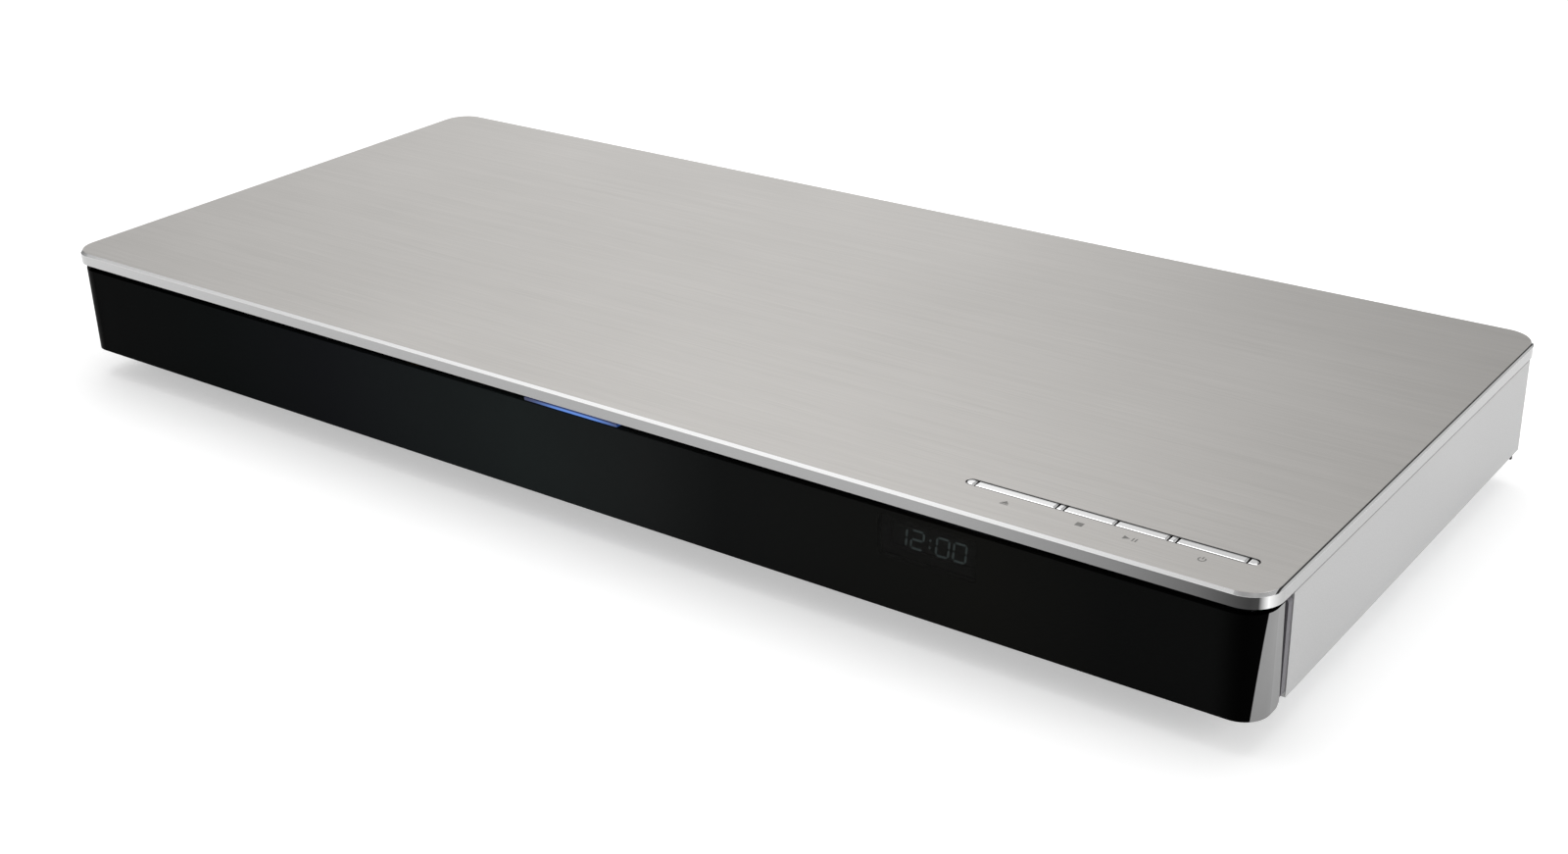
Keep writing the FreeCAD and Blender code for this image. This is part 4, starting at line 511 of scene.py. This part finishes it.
# A profile of (radius, height) turned about an axis: radius times cosine and sine of the angle at each height
def lathe(profile, around, centre, axis="z", closed=False):
    turned = np.arange(around) / around * 2 * math.pi
    radius, height = (np.array(profile, float)[:, k, None] for k in (0, 1))
    turns = [radius * np.cos(turned), radius * np.sin(turned), height + 0 * turned]
    flat = np.stack(turns, -1).reshape(-1, 3)
    points = (flat if axis == "z" else flat[:, [0, 2, 1]]) * mm + np.array(centre) * mm
    faces = ringFaces(len(profile), around, closed)
    if not closed:
        faces += [list(range(around)), list(range((len(profile) - 1) * around, len(profile) * around))]
    return points, faces


# Strips: a rectangle carried along a path of (y, z), half its width either way in x and half its thickness
# either way across the path, and copied to each place in x
def strips(path, width, thickness, places):
    path = np.array(path, float)
    along = np.gradient(path, axis=0)
    along /= np.linalg.norm(along, axis=1, keepdims=True)
    across = np.stack([-along[:, 1], along[:, 0]], -1) * thickness / 2
    corners = np.array([(-1, -1), (1, -1), (1, 1), (-1, 1)], float)
    x = np.broadcast_to(corners[None, :, 0] * width / 2, (len(path), 4))
    yz = path[:, None, :] + corners[None, :, 1, None] * across[:, None, :]
    one = np.concatenate([x[..., None], yz], -1).reshape(-1, 3)
    copies = one[None] + np.array(places, float)[:, None, None] * np.array([1.0, 0, 0])
    count = len(one)
    single = ringFaces(len(path), 4, False) + [[0, 1, 2, 3], [count - 4, count - 3, count - 2, count - 1]]
    faces = [[v + count * k for v in f] for k in range(len(places)) for f in single]
    return copies.reshape(-1, 3) * mm, faces


# Plates: each outline of equal length at two levels, joined by sides and closed by both ends
def plates(outlines, low, high, axis):
    outlines = np.array(outlines, float)
    count, length = outlines.shape[:2]
    levels = np.array([low, high], float)[None, :, None]
    flat = np.broadcast_to(outlines[:, None], (count, 2, length, 2))
    depth = np.broadcast_to(levels, (count, 2, length))
    order = [flat[..., 0], depth, flat[..., 1]] if axis == "y" else [flat[..., 0], flat[..., 1], depth]
    points = np.stack(order, -1).reshape(-1, 3) * mm
    single = ringFaces(2, length, False) + [list(range(length)), list(range(length, 2 * length))]
    faces = [[v + 2 * length * k for v in f] for k in range(count) for f in single]
    return points, faces


# Several shapes as one: their points in a row, each face moved on by the points before it
def joined(*pieces):
    points, faces, start = [], [], 0
    for piecePoints, pieceFaces in pieces:
        points.append(piecePoints)
        faces += [[v + start for v in f] for f in pieceFaces]
        start += len(piecePoints)
    return np.concatenate(points), faces


# A mesh with outward faces, smooth but for edges sharper than the angle, riding on its body
def addPiece(name, shape, material, body, smoothAngle=0.6):
    points, faces = shape
    mesh = bpy.data.meshes.new(name)
    mesh.from_pydata(points.tolist(), [], faces)
    made = bmesh.new()
    made.from_mesh(mesh)
    bmesh.ops.recalc_face_normals(made, faces=made.faces)
    made.to_mesh(mesh)
    made.free()
    mesh.polygons.foreach_set("use_smooth", np.ones(len(mesh.polygons), bool))
    mesh.set_sharp_from_angle(angle=smoothAngle)
    mesh.materials.append(material)
    obj = bpy.data.objects.new(name, mesh)
    bpy.context.scene.collection.objects.link(obj)
    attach(obj, body)
    return obj


# Clock: seven bars a digit, each a long six-sided plate, and a colon of two short ones. A bar has its place
# across and up the digit, and 1 if it stands upright
clock = {"text": "12:00", "left": 106.4, "right": 127.6, "low": 25.4, "high": 31.0, "front": -85.47,
         "back": -85.41, "width": 0.62, "slant": 0.1, "digit": 4.1, "colon": 1.6, "colonLength": 1.3,
         "colonShares": (0.3, 0.7), "gap": 0.18}
bars = {"a": (0, 1, 0), "b": (1, 0.75, 1), "c": (1, 0.25, 1), "d": (0, 0, 0), "e": (-1, 0.25, 1),
        "f": (-1, 0.75, 1), "g": (0, 0.5, 0)}
digitBars = {"0": "abcdef", "1": "bc", "2": "abged"}


# Each bar's middle is its share of the digit's width and height, and the slant leans it by its height
def clockDigits(c):
    height = c["high"] - c["low"] - c["width"]
    wide = c["digit"] - c["width"]
    cells = [c["colon"] if letter == ":" else c["digit"] for letter in c["text"]]
    pitch = (c["right"] - c["left"] - sum(cells)) / (len(cells) - 1)
    outlines = []
    x = c["left"]
    for letter, cell in zip(c["text"], cells):
        middle = x + cell / 2
        found = [(bars[k], height / 2 if bars[k][2] else wide) for k in digitBars.get(letter, "")]
        spots = [(middle + b[0] * wide / 2, b[1] * height, b[2], size - 2 * c["gap"]) for b, size in found]
        if letter == ":":
            spots = [(middle, height * share, 1, c["width"] * c["colonLength"]) for share in c["colonShares"]]
        for px, pz, upright, size in spots:
            half, side = size / 2, c["width"] / 2
            bar = np.array([(-half, 0), (side - half, side), (half - side, side), (half, 0),
                            (half - side, -side), (side - half, -side)])
            bar = bar[:, ::-1] if upright else bar
            bar = bar + (px, pz)
            bar[:, 0] += (bar[:, 1] - height / 2) * c["slant"]
            outlines.append(bar + (0, c["low"] + c["width"] / 2))
        x += cell + pitch
    return plates(outlines, c["back"], c["front"], "y")


addPiece("clock_digits", clockDigits(clock), clockGlow(), "chassis", 0.1)


# Marks by the buttons: plates of six corners each, pressed a little out of the cover. Triangle over a bar,
# square, triangle with two bars, and a stem in an open ring
marks = {"level": 42.98, "proud": 43.01, "y": -81.5, "open": 135.5, "stop": 155.6, "play": 168.9,
         "power": 186.8, "size": 1.12, "wedge": (-0.2, 0.95), "square": (0.85, 0.8),
         "bar": (-0.8, 0.8), "barWidth": 0.35, "arrow": (-1.9, -0.1, 0.85), "pause": (0.45, 1.25),
         "ring": (0.72, 1.05), "ringUp": 0.1, "ringTurns": (130, 410), "ringSteps": 15,
         "stem": (0.2, 1.3), "stemHalf": 0.16}


# A straight-sided outline, with points added along its first side up to six
def sixCorners(points):
    points = list(points)
    while len(points) < 6:
        points.insert(1, tuple((np.array(points[0]) + np.array(points[1])) / 2))
    return np.array(points, float)


# Corners stand round each mark's middle. The ring is short pieces between two radii, from angle to angle
def coverMarks(m):
    size, y = m["size"], m["y"]

    def bar(x0, x1, y0, y1):
        return sixCorners([(x0, y0), (x1, y0), (x1, y1), (x0, y1)])

    def wedge(x, y0, y1, half):
        return sixCorners([(x - half, y0), (x + half, y0), (x, y1)])

    play, eject, stop, power = m["play"], m["open"], m["stop"], m["power"]
    low, high = (y + share for share in m["bar"])
    width = m["barWidth"]
    wide, tall = (share * size for share in m["square"])
    tail, tip, half = m["arrow"]
    outlines = [wedge(eject, y + m["wedge"][0] * size, y + m["wedge"][1] * size, size),
                bar(eject - size, eject + size, low, low + width),
                bar(stop - wide, stop + wide, y - tall, y + tall),
                sixCorners([(play + tail, y - half), (play + tip, y), (play + tail, y + half)]),
                bar(power - m["stemHalf"], power + m["stemHalf"], y + m["stem"][0], y + m["stem"][1])]
    outlines += [bar(play + start, play + start + width, low, high) for start in m["pause"]]
    inner, outer = m["ring"]
    turned = np.radians(np.linspace(*m["ringTurns"], m["ringSteps"]))
    for a, b in zip(turned[:-1], turned[1:]):
        corners = ((a, inner), (a, outer), (b, outer), (b, inner))
        ring = [(math.cos(t) * r, math.sin(t) * r) for t, r in corners]
        outlines.append(sixCorners(ring) + (power, y + m["ringUp"]))
    return plates(outlines, m["level"], m["proud"], "z")


markMetal = plainMetal("markEdge", tone(120, 119, 117), tone(140, 139, 136), 0.3)
addPiece("cover_marks", coverMarks(marks), markMetal, "chassis", 0.1)


# Feet: a turned body with two grooves, a rounded pad and a dished sole
feet = {"across": (-169.5, 169.5), "along": (-54.0, 57.0), "around": 48,
        "profile": [(0.6, 6.6), (10.4, 6.6), (11.0, 6.2), (11.0, 5.2), (10.7, 5.0), (10.7, 4.7), (11.0, 4.5),
                    (11.0, 3.2), (10.6, 2.6), (9.3, 2.3), (9.0, 2.0), (9.0, 0.7), (8.7, 0.2), (8.2, 0.0),
                    (6.4, 0.0), (6.0, 0.3), (0.6, 0.3)]}
footPlaces = [(x, y, 0) for x in feet["across"] for y in feet["along"]]
footShapes = [lathe(feet["profile"], feet["around"], place) for place in footPlaces]
rubberFeet = addPiece("rubber_feet", joined(*footShapes), finishes["foot_rubber"], "chassis")
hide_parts("feet")

# Phono jacks: a bright sleeve round each barrel and a coloured ring on its face, both as (radius, y) profiles
jacks = {
    "places": (12.0, 1.0, -10.0), "level": 20.2, "around": 40, "paler": 14,
    "colours": ((214, 212, 206), (176, 30, 26), (214, 176, 34)),
    "sleeve": [(4.15, 85.3), (4.38, 85.3), (4.38, 89.9), (4.2, 90.12), (3.5, 90.12), (3.5, 89.98),
               (4.15, 89.98)],
    "ring": [(2.05, 89.95), (3.4, 89.95), (3.4, 90.1), (3.2, 90.2), (2.3, 90.2), (2.05, 90.08)],
}


def jackPart(profile, x):
    return lathe(profile, jacks["around"], (x, 0, jacks["level"]), "y", True)


sleeves = [jackPart(jacks["sleeve"], x) for x in jacks["places"]]
addPiece("jack_sleeves", joined(*sleeves), finishes["tinned_steel"], "chassis")
for number, (x, colour) in enumerate(zip(jacks["places"], jacks["colours"])):
    pale = tone(*(min(v + jacks["paler"], 255) for v in colour))
    shade = moulded("jackRing%d" % number, tone(*colour), pale, 0.35)
    addPiece("jack_ring_%d" % number, jackPart(jacks["ring"], x), shade, "chassis")

# Contacts: eight sprung wires in the network socket, thin strips on the video and memory tongues. A path
# has (y, z) points, and the copies stand at their offsets from the socket's middle
contacts = {
    "lan_contacts": {
        "path": [(71.4, 23.6), (74.0, 23.5), (77.0, 22.6), (80.0, 21.2), (81.2, 20.9), (81.8, 21.3)],
        "width": 0.4, "thickness": 0.3, "middle": 51.0, "offsets": (np.arange(8) - 3.5) * 1.02},
    "video_contacts": {
        "path": [(76.5, 16.53), (80.0, 16.53), (85.0, 16.53)],
        "width": 0.28, "thickness": 0.04, "middle": 30.0, "offsets": (np.arange(10) - 4.5) * 1.0},
    "memory_contacts": {
        "path": [(-84.2, 22.22), (-81.0, 22.22), (-77.0, 22.22)],
        "width": 1.0, "thickness": 0.05, "middle": 60.0, "offsets": np.array([-3.5, -1.0, 1.0, 3.5])},
}
gold = plainMetal("goldContact", tone(214, 176, 88), tone(236, 204, 122), 0.22)
for name, c in contacts.items():
    shape = strips(c["path"], c["width"], c["thickness"], c["middle"] + c["offsets"])
    addPiece(name, shape, gold, "chassis")

# Optical output: a small domed emitter deep in its hole
dome = {"centre": (70.0, 0, 18.1), "around": 24, "dim": tone(150, 14, 10), "bright": tone(205, 30, 20),
        "profile": [(0.15, 79.0), (0.8, 78.8), (1.3, 78.3), (1.5, 77.5), (1.5, 77.15), (0.15, 77.15)]}


def emitter(c):
    s = Shader("emitter")
    haze = s.noise(900.0, 2.0)
    s.set(color=tone(120, 20, 16), rough=0.2, glow=s.mix(haze, c["dim"], c["bright"]), glowStrength=0.8)
    return s.material


addPiece("optical_emitter", lathe(dome["profile"], dome["around"], dome["centre"], "y"), emitter(dome),
         "chassis")
print("stage: new pieces")


# Camera at the photograph's place, worked out from the player's edges in the picture
camera = {"azimuth": 36.507, "elevation": 24.669, "roll": -1.348, "place": (0.36318, -0.47696, 0.27249),
          "focalPixels": 2171.7, "imageWidth": 1600, "sensor": 36.0}


def addCamera(c):
    data = bpy.data.cameras.new("camera")
    data.sensor_width = c["sensor"]
    data.lens = c["focalPixels"] / c["imageWidth"] * c["sensor"]
    data.clip_start = 0.01
    obj = bpy.data.objects.new("camera", data)
    bpy.context.scene.collection.objects.link(obj)
    a, e, r = (math.radians(c[key]) for key in ("azimuth", "elevation", "roll"))
    back = Vector((math.sin(a) * math.cos(e), -math.cos(a) * math.cos(e), math.sin(e)))
    right = (-back).cross(Vector((0, 0, 1))).normalized()
    up = right.cross(-back)
    turnedRight = right * math.cos(r) + up * math.sin(r)
    turnedUp = up * math.cos(r) - right * math.sin(r)
    basis = Matrix((turnedRight, turnedUp, back)).transposed()
    obj.matrix_world = Matrix.Translation(Vector(c["place"])) @ basis.to_4x4()
    bpy.context.scene.camera = obj


addCamera(camera)

# Floor: pale paper that is pure white to the camera except where the shadow falls. Its own light grows
# beyond the near distance, so that low views stay white as well
floorLook = {"half": 6.0, "shade": 0.82, "glow": 0.42, "far": (900.0, 2000.0)}


def addFloor(f):
    h = f["half"]
    mesh = bpy.data.meshes.new("floor")
    mesh.from_pydata([(-h, -h, 0), (h, -h, 0), (h, h, 0), (-h, h, 0)], [], [(0, 1, 2, 3)])
    obj = bpy.data.objects.new("floor", mesh)
    bpy.context.scene.collection.objects.link(obj)
    s = Shader("floorPaper")
    rays = s.node("ShaderNodeLightPath").socket.node.outputs
    seen = (Sock(s, rays["Is Camera Ray"]) + Sock(s, rays["Is Glossy Ray"])
            + Sock(s, rays["Is Transmission Ray"])).clamped()
    x, y, z = s.axes()
    far = s.reach(x, y, (0, 0)).step(*f["far"]) * Sock(s, rays["Is Camera Ray"])
    s.set(color=grey(f["shade"]), rough=0.9, specular=0.1,
          glow=s.mix(far, s.mix(seen, grey(0.0), grey(f["glow"])), grey(1.0)), glowStrength=1.0)
    mesh.materials.append(s.material)


addFloor(floorLook)


def addLight(name, place, target, width, height, power):
    data = bpy.data.lights.new(name, "AREA")
    data.shape = "RECTANGLE"
    data.size = width
    data.size_y = height
    data.energy = power
    obj = bpy.data.objects.new(name, data)
    bpy.context.scene.collection.objects.link(obj)
    obj.location = place
    obj.rotation_mode = "QUATERNION"
    obj.rotation_quaternion = (Vector(target) - Vector(place)).to_track_quat("-Z", "Y")


lights = {
    "overhead": dict(place=(-0.1, 0.3, 1.6), target=(0, 0, 0), width=1.9, height=1.5, power=11.5),
    "rightSide": dict(place=(1.5, -0.15, 0.6), target=(0.1, 0, 0), width=0.9, height=0.9, power=6.8),
}
for name, light in lights.items():
    addLight(name, **light)

# Sky: its strength goes by how far a direction points to the right, which shades the cover from left to
# right. Straight to the camera it is white
skyStops = [(-1.0, 0.28), (-0.8, 0.48), (-0.64, 1.0), (-0.48, 1.0), (-0.34, 0.6), (-0.2, 0.36), (0.0, 0.33),
            (0.25, 0.42), (0.42, 0.55), (0.6, 0.5), (1.0, 0.5)]


def addSky(stops):
    world = bpy.data.worlds.new("world")
    bpy.context.scene.world = world
    s = Shader("world", world)
    x, y, z = s.axes("Generated", 1.0)
    s.set(sky=s.mix(s.node("ShaderNodeLightPath"), s.ramp(x, 1.0, stops), grey(1.0)))


addSky(skyStops)
bpy.context.scene.view_settings.view_transform = "Standard"
print("stage: camera, floor and light")
